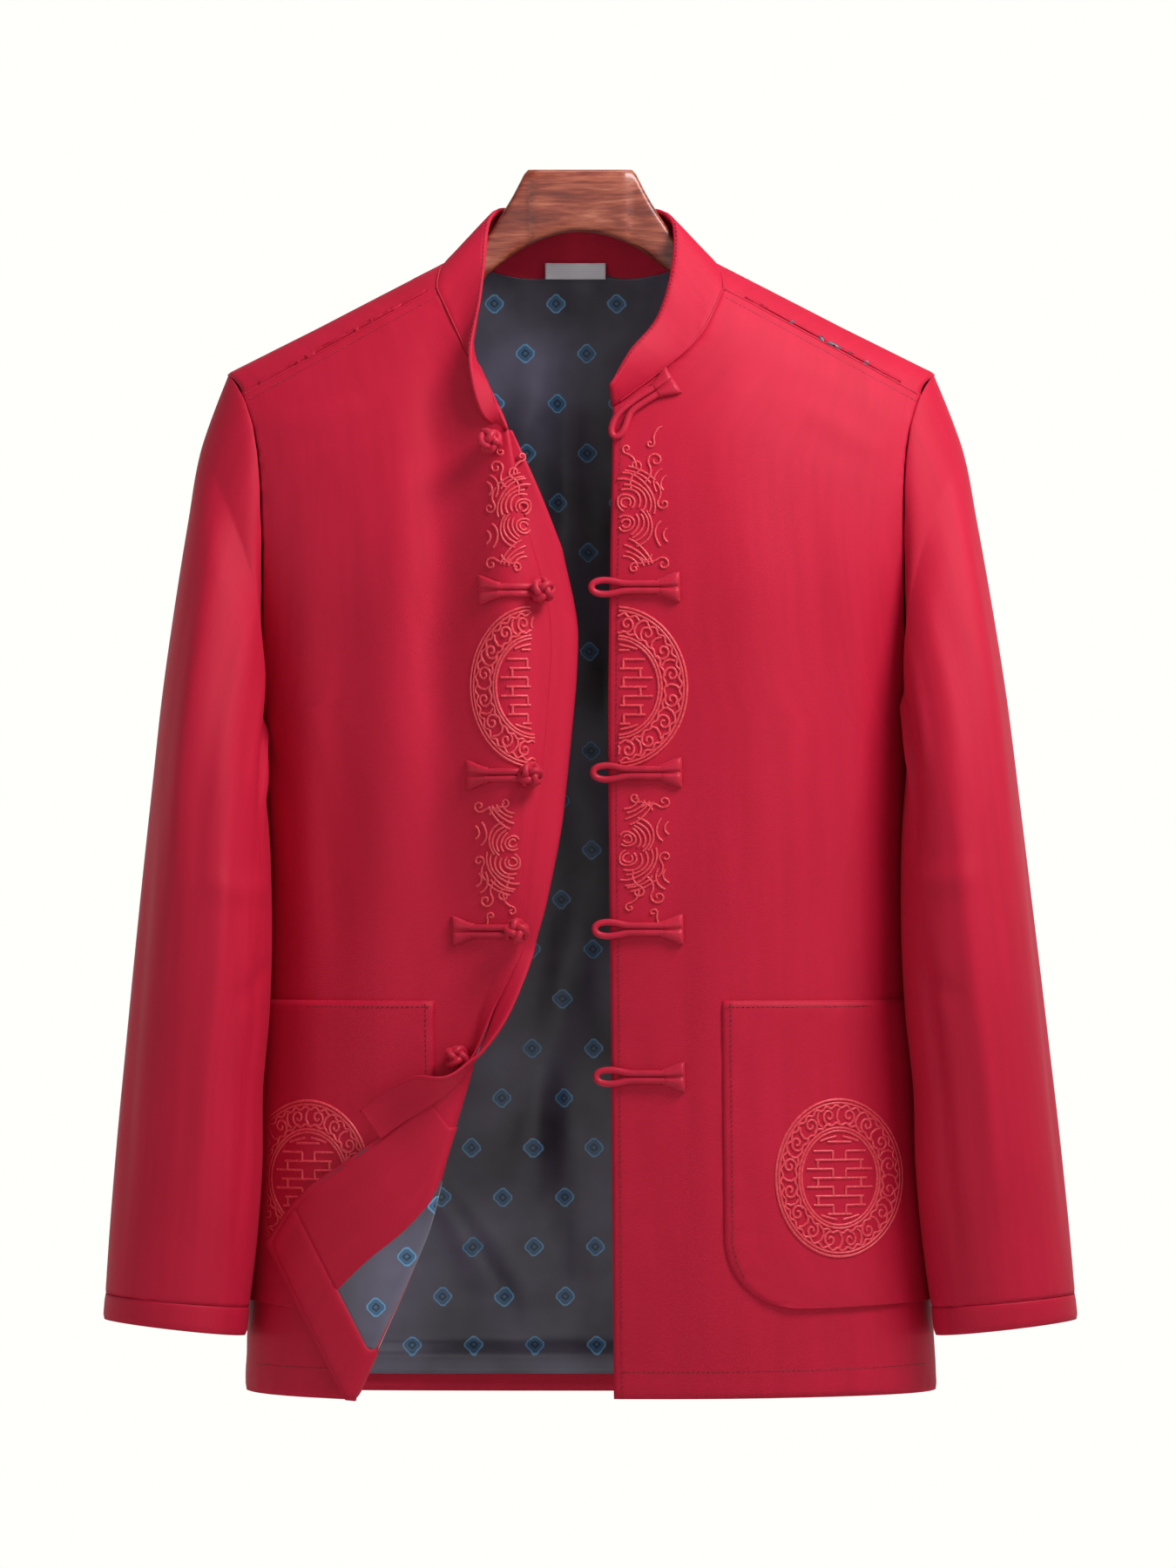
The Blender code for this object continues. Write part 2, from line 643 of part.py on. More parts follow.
def surface_cord_point(side, x, z):
    """On the outside of a front, with the cord's middle one radius clear of the cloth."""
    p = front_point(abs(x), z, CORD_RADIUS + LAYER_GAP)
    return Vector((side * abs(x) + sway(z), p.y, z))


def doubled_cord(line, z=0.0):
    """One cord laid along a line and back on its other side, open by twice half_gap."""
    middle = [(row["x"], row["z"] if "z" in row else z - row["drop"]) for row in line]
    there, back = [], []
    for i, (x, height) in enumerate(middle):
        before, after = middle[max(i - 1, 0)], middle[min(i + 1, len(middle) - 1)]
        along = Vector((after[0] - before[0], after[1] - before[1])).normalized()
        gap = line[i]["half_gap"]
        there.append((x - along.y * gap, height + along.x * gap))
        back.append((x + along.y * gap, height - along.x * gap))
    return [surface_cord_point(1, *p) for p in there + back[-2::-1]]


def tab(name, centre_x, centre_z, direction, side, finish):
    """The flared end of a frog: a small folded cloth tab."""
    def point(across, up):
        half = TAB_HALF_ROOT + (TAB_HALF_END - TAB_HALF_ROOT) * across
        along = TAB_LENGTH * across
        x = centre_x + direction[0] * along - direction[1] * half * (2 * up - 1)
        z = centre_z + direction[1] * along + direction[0] * half * (2 * up - 1)
        p = front_point(abs(x), z)
        return Vector((side * abs(x) + sway(z), p.y, z))
    cloth(name, point, 2, 2, finish, TAB_WALL, LAYER_GAP + TAB_WALL, forwards)


def knot_ball(number, x, z, finish, radius=KNOT_RADIUS):
    bm = bmesh.new()
    bmesh.ops.create_icosphere(bm, subdivisions=2, radius=radius)
    surface = front_point(x, z, radius + LAYER_GAP + 0.0004)
    bmesh.ops.translate(bm, verts=bm.verts, vec=Vector((sway(z) - x, surface.y, z)))
    place(f"knot_ball_{number}", bm, finish)


def knot_frog(number, x, z, finish):
    """A knotted ball, the doubled cord behind it and the tab."""
    knot_ball(number, x, z, finish)
    start, end = x + KNOT_RADIUS + 0.0004 + CORD_RADIUS, x + KNOT_RADIUS + KNOT_BAR_LENGTH
    steps = 4
    turn = [(start + BAR_HALF_GAP * (1 - math.sin(HALF_TURN * k / steps)),
             BAR_HALF_GAP * math.cos(HALF_TURN * k / steps)) for k in range(steps + 1)]
    points = [(end, BAR_HALF_GAP)] + turn + [(end, -BAR_HALF_GAP)]
    cord(f"knot_bar_{number}", [surface_cord_point(-1, px, z + h) for px, h in points], finish)
    tab(f"knot_tab_{number}", end + 0.0006, z, (1, 0), -1, finish)


ARCH_TOP_Z, ARCH_RISE, ARCH_HALF_WIDTH = -0.0400, 0.0265, 0.058


def hanger_section(x):
    """Top, bottom and half depth of the hanger at x."""
    arm = table("x top low half_depth", [
        (0.000, 0.0000, -0.0400, 0.0085),
        (0.034, 0.0000, -0.0490, 0.0095),
        (0.045, -0.0200, -0.0560, 0.0105),
        (0.058, -0.0400, -0.0665, 0.0105),
        (0.075, -0.0640, -0.0850, 0.0105),
        (0.095, -0.0790, -0.1000, 0.0110),
        (0.150, -0.1090, -0.1290, 0.0120),
        (0.205, -0.1440, -0.1600, 0.0110),
    ])
    after = next(k for k in range(1, len(arm)) if x <= arm[k]["x"] + 1e-9)
    low, high = arm[after - 1], arm[after]
    t = (x - low["x"]) / (high["x"] - low["x"])
    top, under, depth = [low[name] + (high[name] - low[name]) * t for name in ("top", "low", "half_depth")]
    if x < ARCH_HALF_WIDTH:
        under = ARCH_TOP_Z - ARCH_RISE * (x / ARCH_HALF_WIDTH) ** 2
    return top, under, depth


def hanger(finish):
    """A contoured wooden hanger: a chamfered bar drawn through its sections."""
    stations = [0.205, 0.150, 0.120, 0.095, 0.075, 0.058, 0.052, 0.045, 0.034, 0.025, 0.017, 0.008]
    stations = [-x for x in stations] + stations[::-1]
    bm = bmesh.new()
    rings = []
    for x in stations:
        top, low, depth = hanger_section(abs(x))
        chamfer = min(0.004, depth * 0.4)
        outline = [(-depth, top - chamfer), (-depth + chamfer, top), (depth - chamfer, top),
                   (depth, top - chamfer), (depth, low + chamfer), (depth - chamfer, low),
                   (-depth + chamfer, low), (-depth, low + chamfer)]
        rings.append([bm.verts.new((x, y, z)) for y, z in outline])
    for before, after in zip(rings, rings[1:]):
        for i in range(8):
            bm.faces.new((before[i], before[(i + 1) % 8], after[(i + 1) % 8], after[i]))
    bm.faces.new(rings[0][::-1])
    bm.faces.new(rings[-1])
    bmesh.ops.recalc_face_normals(bm, faces=bm.faces)
    made = place("hanger", bm, finish)
    made.data.set_sharp_from_angle(angle=math.radians(30))


# ---- the model ------------------------------------------------------------------------
for old in list(bpy.data.objects):
    bpy.data.objects.remove(old)
jacket = bpy.data.collections.new("tang_jacket_on_a_hanger")
bpy.context.scene.collection.children.link(jacket)

RED_CLOTH = material("red_suiting", (0.46, 0.018, 0.045), 0.62)
DARK_SATIN = material("charcoal_satin_lining", (0.035, 0.033, 0.038), 0.35)
WHITE_WOVEN = material("white_woven_label", (0.80, 0.80, 0.82), 0.60)
RED_CORD = material("red_cloth_cord", (0.50, 0.022, 0.050), 0.55)
WOOD = material("lacquered_mahogany", (0.20, 0.055, 0.030), 0.30)

hanger(WOOD)
cloth("back_panel", back_point, BACK_COLUMNS, 24, RED_CLOTH, outward=backwards)
cloth("left_front", loop_front_point, 12, 22, RED_CLOTH, outward=forwards)
cloth("right_front", knot_front_point, 20, 22, RED_CLOTH, outward=forwards)
cloth("underlap", underlap_point, 2, 18, RED_CLOTH, outward=forwards)
cloth("corner_hem_band", corner_patch(0.0, HEM_BAND_TOP - 0.003, turned_start, to_edge),
      6, 1, RED_CLOTH, outward=backwards)
cloth("corner_facing", corner_patch(HEM_BAND_TOP, FACING_TOP, facing_start, to_edge),
      4, 4, RED_CLOTH, outward=backwards)
cloth("corner_lining", corner_patch(HEM_BAND_TOP, LINING_TOP, turned_start, lining_end),
      2, 2, DARK_SATIN, LINING_CLOTH, outward=backwards)
for side, name in ((1, "left"), (-1, "right")):
    cloth(f"{name}_sleeve", lambda turn, along, side=side: sleeve_point(
        side, turn, along * (CUFF_START - 0.0009)),
          20, 14, RED_CLOTH, outward=lambda centre, side=side: Vector((-side, 0, 0)), closed=True)
    cloth(f"{name}_cuff", lambda turn, along, side=side: sleeve_point(
        side, turn, CUFF_START + (1 - CUFF_START) * along),
        20, 1, RED_CLOTH, outward=lambda centre, side=side: Vector((-side, 0, 0)), closed=True)
    cloth(f"{name}_pocket", lambda across, up, side=side: pocket_point(side, across, up),
          8, 9, RED_CLOTH, lift=POCKET_GAP + CLOTH, outward=forwards)
cloth("collar", collar_point, 30, 2, RED_CLOTH, outward=backwards)
cloth("back_lining", lambda across, up: back_point(across, min(up, LINING_TOP_SHARE), LINING_HEM),
      BACK_COLUMNS, 24, DARK_SATIN, LINING_CLOTH, -(CLOTH + LINING_GAP), backwards, trim=1 / BACK_COLUMNS)
cloth("label", label_point, 4, 1, WHITE_WOVEN, LABEL_CLOTH, outward=backwards)

for frog in FROG_ROWS:
    number = frog["number"]
    cord(f"loop_cord_{number}", doubled_cord(LOOP_LINE, frog["loop_z"]), RED_CORD)
    tab(f"loop_tab_{number}", LOOP_TAB_X + 0.0006, frog["loop_z"], (1, 0), 1, RED_CORD)
    knot_frog(number, frog["knot_x"], frog["knot_z"], RED_CORD)
cord("loop_cord_1", doubled_cord(NECK_LOOP_LINE), RED_CORD)
tab("loop_tab_1", 0.0466, -0.1446, (0.85, 0.53), 1, RED_CORD)
cord("loop_cord_5", doubled_cord(LOOP_LINE, LOWEST_LOOP_Z), RED_CORD)
tab("loop_tab_5", LOOP_TAB_X + 0.0006, LOWEST_LOOP_Z, (1, 0), 1, RED_CORD)
knot_ball(1, NECK_KNOT_X, NECK_KNOT_Z, RED_CORD)
knot_ball(5, LOWEST_KNOT_X, LOWEST_KNOT_Z, RED_CORD)
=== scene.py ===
# %% [markdown]
# # A tang jacket on a wooden hanger
#
# This lesson dresses a CAD model of a jacket. Every panel of the jacket is a thin sheet of
# cloth, so each one is a grid of points laid on one common body form, given a wall, and
# finished with a material named for the real cloth. Because all the panels read the same form,
# the pocket lies on the front, the embroidery on the pocket, and nothing has to be fitted.

# %% Load the frame
import math

import bmesh
import bpy
from mathutils import Euler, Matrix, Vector, noise


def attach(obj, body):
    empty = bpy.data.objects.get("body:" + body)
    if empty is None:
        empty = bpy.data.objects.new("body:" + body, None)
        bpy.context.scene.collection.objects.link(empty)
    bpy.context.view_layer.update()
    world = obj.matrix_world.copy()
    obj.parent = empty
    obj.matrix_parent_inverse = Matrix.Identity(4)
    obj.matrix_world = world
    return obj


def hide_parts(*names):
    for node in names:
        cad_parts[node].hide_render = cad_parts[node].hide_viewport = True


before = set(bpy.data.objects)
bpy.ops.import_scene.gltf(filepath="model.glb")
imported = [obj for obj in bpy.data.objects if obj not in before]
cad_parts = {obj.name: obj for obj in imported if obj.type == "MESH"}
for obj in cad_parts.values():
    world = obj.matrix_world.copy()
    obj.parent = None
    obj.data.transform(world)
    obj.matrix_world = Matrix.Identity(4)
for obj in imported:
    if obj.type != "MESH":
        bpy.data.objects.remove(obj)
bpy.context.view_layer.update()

# %% [markdown]
# ## Tables and a smooth curve through them
#
# A maker's pattern is a few sizes at a few heights. A short table with named columns holds
# them, and a Hermite curve through its rows gives every value in between, so ten rows are
# enough for a whole sleeve.

# %% Tables
HALF_TURN = math.pi


def table(names, rows):
    """A table with named columns; its first column is the one that is looked up."""
    return [dict(zip(names.split(), row)) for row in rows]


def look_up(rows, column, at):
    """The column at that value of the first column, on a smooth curve through the rows."""
    key = next(iter(rows[0]))
    ordered = rows if rows[-1][key] > rows[0][key] else rows[::-1]
    at = min(max(at, ordered[0][key]), ordered[-1][key])
    last = len(ordered) - 2
    i = next((k for k in range(last) if at <= ordered[k + 1][key]), last)

    def slope(k):
        low, high = max(k - 1, 0), min(k + 1, last + 1)
        span = ordered[high][key] - ordered[low][key]
        return (ordered[high][column] - ordered[low][column]) / span

    start, end = ordered[i], ordered[i + 1]
    width = end[key] - start[key]
    t = (at - start[key]) / width
    return ((2 * t ** 3 - 3 * t ** 2 + 1) * start[column] + (t ** 3 - 2 * t ** 2 + t) * width * slope(i)
            + (3 * t ** 2 - 2 * t ** 3) * end[column] + (t ** 3 - t ** 2) * width * slope(i + 1))


def smooth(t):
    """0 to 1 with a soft start and end."""
    t = min(max(t, 0.0), 1.0)
    return t * t * (3 - 2 * t)


# %% [markdown]
# ## Creases
#
# Cloth that hangs from a hanger isn't smooth: it drops in long shallow folds from the shoulder
# and drags a little towards the armhole. Each fold here is given as a line with a width and a
# depth, a soft trough (negative) or ridge (positive) that fades at both ends.
# Cloth simulation would also make folds, but not these ones in these places.

# %% Folds
def fold_height(folds, u, v):
    """How far the cloth stands out at (u, v), summed over the folds in a table."""
    height = 0.0
    for fold in folds:
        du, dv = fold["u1"] - fold["u0"], fold["v1"] - fold["v0"]
        along = ((u - fold["u0"]) * du + (v - fold["v0"]) * dv) / (du * du + dv * dv)
        if not 0 < along < 1:
            continue
        off = ((u - fold["u0"]) * dv - (v - fold["v0"]) * du) / math.hypot(du, dv)
        if abs(off) < 3 * fold["width"]:
            ends = smooth(3 * along) * smooth(3 - 3 * along)
            height += fold["depth"] * math.exp(-(off / fold["width"]) ** 2) * ends
    return height


# Folds of the fronts, in x and z: the knot side has negative x.
FRONT_FOLDS = table("u0 v0 u1 v1 width depth", [
    (-0.110, -0.160, -0.125, -0.500, 0.020, 0.0028),
    (-0.150, -0.180, -0.160, -0.620, 0.016, -0.0022),
    (-0.178, -0.210, -0.182, -0.560, 0.012, 0.0020),
    (-0.085, -0.200, -0.100, -0.520, 0.014, -0.0018),
    (-0.060, -0.130, -0.085, -0.330, 0.018, -0.0030),
    (-0.135, -0.350, -0.140, -0.760, 0.020, 0.0018),
    (-0.190, -0.420, -0.196, -0.780, 0.012, -0.0022),
    (0.100, -0.150, 0.118, -0.520, 0.022, 0.0028),
    (0.150, -0.190, 0.152, -0.560, 0.014, -0.0020),
    (0.176, -0.230, 0.180, -0.620, 0.012, 0.0020),
    (0.060, -0.260, 0.066, -0.600, 0.016, -0.0018),
    (0.075, -0.400, 0.080, -0.780, 0.014, 0.0016),
    (0.195, -0.420, 0.200, -0.780, 0.012, -0.0024),
    (0.050, -0.180, 0.120, -0.135, 0.008, 0.0010),
    (-0.200, -0.170, -0.130, -0.150, 0.008, 0.0012),
    (0.130, -0.145, 0.205, -0.190, 0.010, 0.0012),
    (-0.040, -0.020, -0.046, -0.600, 0.030, 0.0230),
    (-0.088, -0.060, -0.098, -0.420, 0.016, -0.0050),
])
BACK_FOLDS = table("u0 v0 u1 v1 width depth", [
    (-0.120, -0.150, -0.140, -0.560, 0.022, 0.0030),
    (-0.060, -0.180, -0.065, -0.700, 0.020, -0.0022),
    (0.010, -0.160, 0.000, -0.640, 0.024, 0.0020),
    (0.075, -0.200, 0.085, -0.740, 0.018, -0.0024),
    (0.130, -0.150, 0.150, -0.600, 0.020, 0.0030),
    (-0.175, -0.280, -0.185, -0.770, 0.012, -0.0026),
    (0.178, -0.300, 0.186, -0.770, 0.012, -0.0024),
    (-0.190, -0.220, -0.110, -0.420, 0.012, 0.0018),
    (0.190, -0.230, 0.115, -0.410, 0.012, 0.0018),
])

# %% [markdown]
# ## The body form
#
# The jacket keeps the shape of the hanger's shoulders: an oval at each height, which closes
# over a straight sloping ridge. This is the same form that the CAD panels were cut on; the
# folds above are added to it, so everything that lies on a panel follows them.

# %% Body form
SIDE_POWER = 2.6
CROWN_POWER = 2.2
CROWN_START_Z = -0.300
CROWN_SCALE = 0.23
RIDGE_X, RIDGE_Z, RIDGE_SLOPE = 0.0985, -0.0655, 0.509
SWAY, SWAY_START_Z = 0.0098, -0.060
OPENING_DIP, OPENING_DIP_WIDTH = 0.016, 0.065
FRONT_HEM_Z, SIDE_HEM_Z, BACK_HEM_Z = -0.7868, -0.7830, -0.7890
UNDERARM_Z = -0.365
NECK_X, NECK_Z = 0.0918, -0.0773
SEAM_END_X, SEAM_END_Z = 0.2176, -0.1460
BACK_NECK_Z = -0.064
SHOULDER_TIP_X = 0.2278
CLOTH = 0.0018
SEAM_GAP, SHOULDER_LAP = 0.0003, 0.0012

BODY = table("z half_width front back", [
    (-0.790, 0.2225, 0.0880, 0.0850),
    (-0.700, 0.2185, 0.0900, 0.0850),
    (-0.600, 0.2135, 0.0900, 0.0840),
    (-0.500, 0.2100, 0.0900, 0.0830),
    (-0.420, 0.2085, 0.0890, 0.0830),
    (-0.365, 0.2100, 0.0880, 0.0820),
    (-0.300, 0.2175, 0.0860, 0.0810),
    (-0.250, 0.2300, 0.0850, 0.0800),
    (-0.180, 0.2440, 0.0830, 0.0780),
    (-0.100, 0.2560, 0.0800, 0.0750),
    (-0.020, 0.2600, 0.0800, 0.0750),
])


def sway(z):
    return SWAY * max(0.0, SWAY_START_Z - z)


def ridge(x):
    """Height of the shoulder line above x."""
    return RIDGE_Z - RIDGE_SLOPE * (abs(x) - RIDGE_X)


def oval(x, z):
    """Share of the full depth that the oval has at x."""
    across = min(abs(x) / look_up(BODY, "half_width", z), 1.0)
    return (1 - across ** SIDE_POWER) ** (1 / SIDE_POWER)


def front_depth(x, z):
    """How far the outer face of the fronts stands forward of the middle plane; x has its sign."""
    rise = min(max((z - CROWN_START_Z) / (ridge(x) - CROWN_START_Z), 0.0), 1.0)
    crown = (1 - rise ** CROWN_POWER) ** (1 / CROWN_POWER)
    dip = OPENING_DIP * math.exp(-(x / OPENING_DIP_WIDTH) ** 2)
    share = oval(x, z)
    return (look_up(BODY, "front", z) - dip) * share * crown + fold_height(FRONT_FOLDS, x, z) * share ** 0.5


def front_point(x, z, forward=0.0):
    return Vector((x + sway(z), -front_depth(x, z) - forward, z))


def wrap_point(x, turn):
    """A point by its turn over the shoulder: below 0 the back, half of pi the ridge, then the front."""
    if turn <= 0:
        z = CROWN_START_Z + turn * CROWN_SCALE
        depth = look_up(BODY, "back", z) * oval(x, z) + fold_height(BACK_FOLDS, x, z) * oval(x, z) ** 0.5
        return Vector((x + sway(z), depth, z))
    rise = math.sin(turn) ** (2 / CROWN_POWER)
    z = CROWN_START_Z + (ridge(x) - CROWN_START_Z) * rise
    if turn > HALF_TURN / 2:
        return front_point(x, z)
    crown = max(1 - rise ** CROWN_POWER, 0.0) ** (1 / CROWN_POWER)
    depth = look_up(BODY, "back", z) * oval(x, z) * crown + fold_height(BACK_FOLDS, x, z) * oval(x, z) ** 0.5
    return Vector((x + sway(z), depth, z))


def turn_at(x, z, front):
    """The turn over the shoulder of a height z, on the front or on the back."""
    if z <= CROWN_START_Z:
        return (z - CROWN_START_Z) / CROWN_SCALE
    rise = min((z - CROWN_START_Z) / (ridge(x) - CROWN_START_Z), 1.0)
    turn = math.asin(rise ** (CROWN_POWER / 2))
    return HALF_TURN - turn if front else turn


def side_angle(x, z):
    """The oval's own angle at x: 0 in the middle, a quarter turn at the side seam."""
    return math.asin(min(abs(x) / look_up(BODY, "half_width", z), 1.0) ** (SIDE_POWER / 2))


def side_x(angle, z):
    return look_up(BODY, "half_width", z) * math.sin(angle) ** (2 / SIDE_POWER)


def seam_angle(z):
    """The oval's angle just short of the side seam."""
    return math.acos((SEAM_GAP / look_up(BODY, "back", z)) ** (SIDE_POWER / 2))


ARMHOLE_IN, ARMHOLE_IN_WITHIN, ARMHOLE_OUT = 0.0235, 0.025, 0.006
ARMHOLE_GAP, ARMHOLE_TIP_TUCK = 0.0002, 0.0016
TIP_Z = ridge(SHOULDER_TIP_X)


def armhole_x(z):
    drop = TIP_Z - z
    inwards = ARMHOLE_IN * (1 - math.exp(-drop / ARMHOLE_IN_WITHIN))
    return SHOULDER_TIP_X - inwards + (ARMHOLE_OUT - 0.0004) * (drop / (TIP_Z - UNDERARM_Z)) ** 4


def armhole_point(angle, side):
    """0 is the shoulder tip, a quarter turn the front, a half turn the underarm."""
    z = UNDERARM_Z + (TIP_Z - UNDERARM_Z) * (1 + math.cos(angle)) / 2
    x = min(armhole_x(z), side_x(seam_angle(z), z))
    if math.sin(angle) > 0:
        return Vector((x, -front_depth(side * x, z), z))
    return Vector((x, wrap_point(side * x, turn_at(x, z, False)).y, z))


print("shoulder tip at", round(TIP_Z, 4))

# %% [markdown]
# ## One small function for a node
#
# All the materials below are built from nodes in code. This function adds one node, sets the
# values of its sockets and properties, and links what it is given.

# %% Material helpers
def linear(hex_colour):
    """An sRGB hex colour as the linear RGBA that a shader wants."""
    parts = [int(hex_colour[k:k + 2], 16) / 255 for k in (1, 3, 5)]
    return (*[c / 12.92 if c <= 0.04045 else ((c + 0.055) / 1.055) ** 2.4 for c in parts], 1.0)


def node(tree, kind, inputs=(), **settings):
    """Adds a node. inputs is {socket: a value, or another node's output}."""
    made = tree.nodes.new(kind)
    for name, value in settings.items():
        setattr(made, name, value)
    for socket, value in dict(inputs).items():
        if isinstance(value, bpy.types.NodeSocket):
            tree.links.new(value, made.inputs[socket])
        else:
            made.inputs[socket].default_value = value
    return made


CLOTH_IOR = 1.5


def new_material(name, roughness, **sockets):
    """A material and its Principled shader, with the values that are the same all over."""
    made = bpy.data.materials.new(name)
    made.use_nodes = True
    shader = made.node_tree.nodes["Principled BSDF"]
    shader.inputs["Roughness"].default_value = roughness
    shader.inputs["IOR"].default_value = CLOTH_IOR
    for socket, value in sockets.items():
        shader.inputs[socket.replace("_", " ")].default_value = value
    return made, made.node_tree, shader


def colour_ramp(tree, factor, stops):
    """Colours along a factor; stops are (position, hex)."""
    ramp = node(tree, "ShaderNodeValToRGB", {"Fac": factor})
    for i, (position, colour) in enumerate((stops[0], stops[-1])):
        ramp.color_ramp.elements[i].position = position
        ramp.color_ramp.elements[i].color = linear(colour)
    for position, colour in stops[1:-1]:
        ramp.color_ramp.elements.new(position).color = linear(colour)
    return ramp.outputs["Color"]


def add_bump(tree, shader, height, strength, distance=0.0002):
    """A fine relief, distance in metres, under the whole finish."""
    bump = node(tree, "ShaderNodeBump", {"Height": height, "Strength": strength, "Distance": distance})
    tree.links.new(bump.outputs["Normal"], shader.inputs["Normal"])


# %% [markdown]
# ## Red suiting
#
# The shell is a smooth matt suiting, a polyester and wool twill about half a millimetre thick.
# Its fibres stand up a little, which gives it a pale sheen where the light grazes it, so the
# shader has a sheen lobe. Two fine waves crossing at the thread pitch make the twill; real
# threads are 0.35 mm apart, too fine to show, so they are drawn 0.9 mm apart. A long soft noise
# along the warp makes the faint upright streaks that pressed suiting has.

# %% Cloth materials
TWILL_PITCH = 0.0009


def suiting(name, light, dark, roughness=0.60, sheen=0.06, cord=False):
    made, tree, shader = new_material(name, roughness, Sheen_Weight=sheen, Sheen_Roughness=0.45,
                                      Sheen_Tint=linear("#ff6f86"), Specular_IOR_Level=0.20)
    if cord:
        place = node(tree, "ShaderNodeTexCoord").outputs["Object"]
    else:
        place = node(tree, "ShaderNodeUVMap", uv_map="cut").outputs["UV"]
    twill_place = node(tree, "ShaderNodeMapping", {"Vector": place, "Rotation": (0, 0, math.radians(58))})
    twill = node(tree, "ShaderNodeTexWave", {"Vector": twill_place.outputs["Vector"],
                                             "Scale": HALF_TURN / (10 * TWILL_PITCH), "Distortion": 0.6,
                                             "Detail": 1.0}, bands_direction="X")
    warp_place = node(tree, "ShaderNodeMapping", {"Vector": place, "Scale": (90, 9, 1)})
    streaks = node(tree, "ShaderNodeTexNoise", {"Vector": warp_place.outputs["Vector"], "Scale": 1.0,
                                                "Detail": 3.0, "Roughness": 0.55})
    clouds = node(tree, "ShaderNodeTexNoise", {"Vector": place, "Scale": 9.0, "Detail": 2.0})
    tone = node(tree, "ShaderNodeMath", {0: streaks.outputs["Fac"], 1: clouds.outputs["Fac"]},
                operation="ADD")
    threads = node(tree, "ShaderNodeMath", {0: twill.outputs["Fac"], 1: 0.16, 2: tone.outputs["Value"]},
                   operation="MULTIPLY_ADD")
    spread = node(tree, "ShaderNodeMapRange", {"Value": threads.outputs["Value"], "From Min": 0.45,
                                               "From Max": 1.65})
    tree.links.new(colour_ramp(tree, spread.outputs["Result"], [(0.0, dark), (1.0, light)]),
                   shader.inputs["Base Color"])
    relief = node(tree, "ShaderNodeMath", {0: streaks.outputs["Fac"], 1: 0.5, 2: twill.outputs["Fac"]},
                  operation="MULTIPLY_ADD")
    bump = node(tree, "ShaderNodeBump", {"Height": relief.outputs["Value"], "Strength": 0.22,
                                         "Distance": 0.00025})
    tree.links.new(bump.outputs["Normal"], shader.inputs["Normal"])
    return made


RED = suiting("red_twill_suiting", "#c4173a", "#ac0f2d")
RED_CORD = suiting("red_bias_cut_cord", "#c82742", "#a4152f", roughness=0.42, sheen=0.25, cord=True)
print("cloth materials", RED.name, RED_CORD.name)

# %% [markdown]
# ## Charcoal satin with a woven motif
#
# The lining is acetate satin, dark and smooth, with a small blue motif woven in: a lozenge with
# a ring inside, 12 mm across, 40 mm apart in rows 32 mm apart, each row moved by half. Counting
# the motif's cell with a modulo and measuring the distance to its middle charts it with plain
# numbers. The lozenge is a rounded one, so the distance is a blend of |u|+|v| and of the circle.

# %% Lining
MOTIF_ACROSS, MOTIF_UP, MOTIF_SIZE = 0.040, 0.0322, 0.0062


def satin(name, ground, ground_dark):
    made, tree, shader = new_material(name, 0.34, Specular_IOR_Level=0.55, Sheen_Weight=0.25)
    place = node(tree, "ShaderNodeUVMap", uv_map="cut").outputs["UV"]
    axes = node(tree, "ShaderNodeSeparateXYZ", {"Vector": place})

    def calc(operation, first, second=0.0, third=0.0):
        made = node(tree, "ShaderNodeMath", {0: first, 1: second, 2: third}, operation=operation)
        return made.outputs["Value"]

    row = calc("FLOOR", calc("DIVIDE", axes.outputs["Y"], MOTIF_UP))
    shift = calc("MULTIPLY", calc("MODULO", calc("ADD", row, 200.0), 2.0), MOTIF_ACROSS / 2)
    u = calc("ABSOLUTE", calc("SUBTRACT", calc("FLOORED_MODULO", calc("ADD", axes.outputs["X"], shift),
                                               MOTIF_ACROSS), MOTIF_ACROSS / 2))
    v = calc("ABSOLUTE", calc("SUBTRACT", calc("FLOORED_MODULO", axes.outputs["Y"], MOTIF_UP), MOTIF_UP / 2))
    wobble = node(tree, "ShaderNodeTexNoise", {"Vector": place, "Scale": 320.0, "Detail": 1.0})
    sum_uv = calc("MULTIPLY", calc("ADD", u, v), 0.80)
    ring = calc("SQRT", calc("ADD", calc("MULTIPLY", u, u), calc("MULTIPLY", v, v)))
    far = calc("MULTIPLY_ADD", calc("SUBTRACT", wobble.outputs["Fac"], 0.5), 0.0012,
               calc("MAXIMUM", calc("MULTIPLY", sum_uv, 1.0), calc("MULTIPLY", ring, 0.96)))
    share = calc("DIVIDE", far, MOTIF_SIZE)
    motif = colour_ramp(tree, share, [
        (0.0, "#4d82b0"), (0.14, "#3a5f85"), (0.26, "#22303f"), (0.40, "#2b3f56"), (0.52, "#40709c"),
        (0.64, "#33567a"), (0.76, "#3c6a95"), (0.88, "#75a9cf"), (1.0, "#3a5a78")])
    clouds = node(tree, "ShaderNodeTexNoise", {"Vector": place, "Scale": 14.0, "Detail": 3.0})
    cloth = colour_ramp(tree, clouds.outputs["Fac"], [(0.3, ground_dark), (0.7, ground)])
    inside = calc("LESS_THAN", share, 1.0)
    mixed = node(tree, "ShaderNodeMix", {0: inside, 6: cloth, 7: motif}, data_type="RGBA")
    tree.links.new(mixed.outputs[2], shader.inputs["Base Color"])
    weave = node(tree, "ShaderNodeTexNoise", {"Vector": place, "Scale": 900.0, "Detail": 2.0})
    add_bump(tree, shader, weave.outputs["Fac"], 0.12)
    return made


SATIN = satin("charcoal_acetate_satin", "#645f76", "#2d2a34")


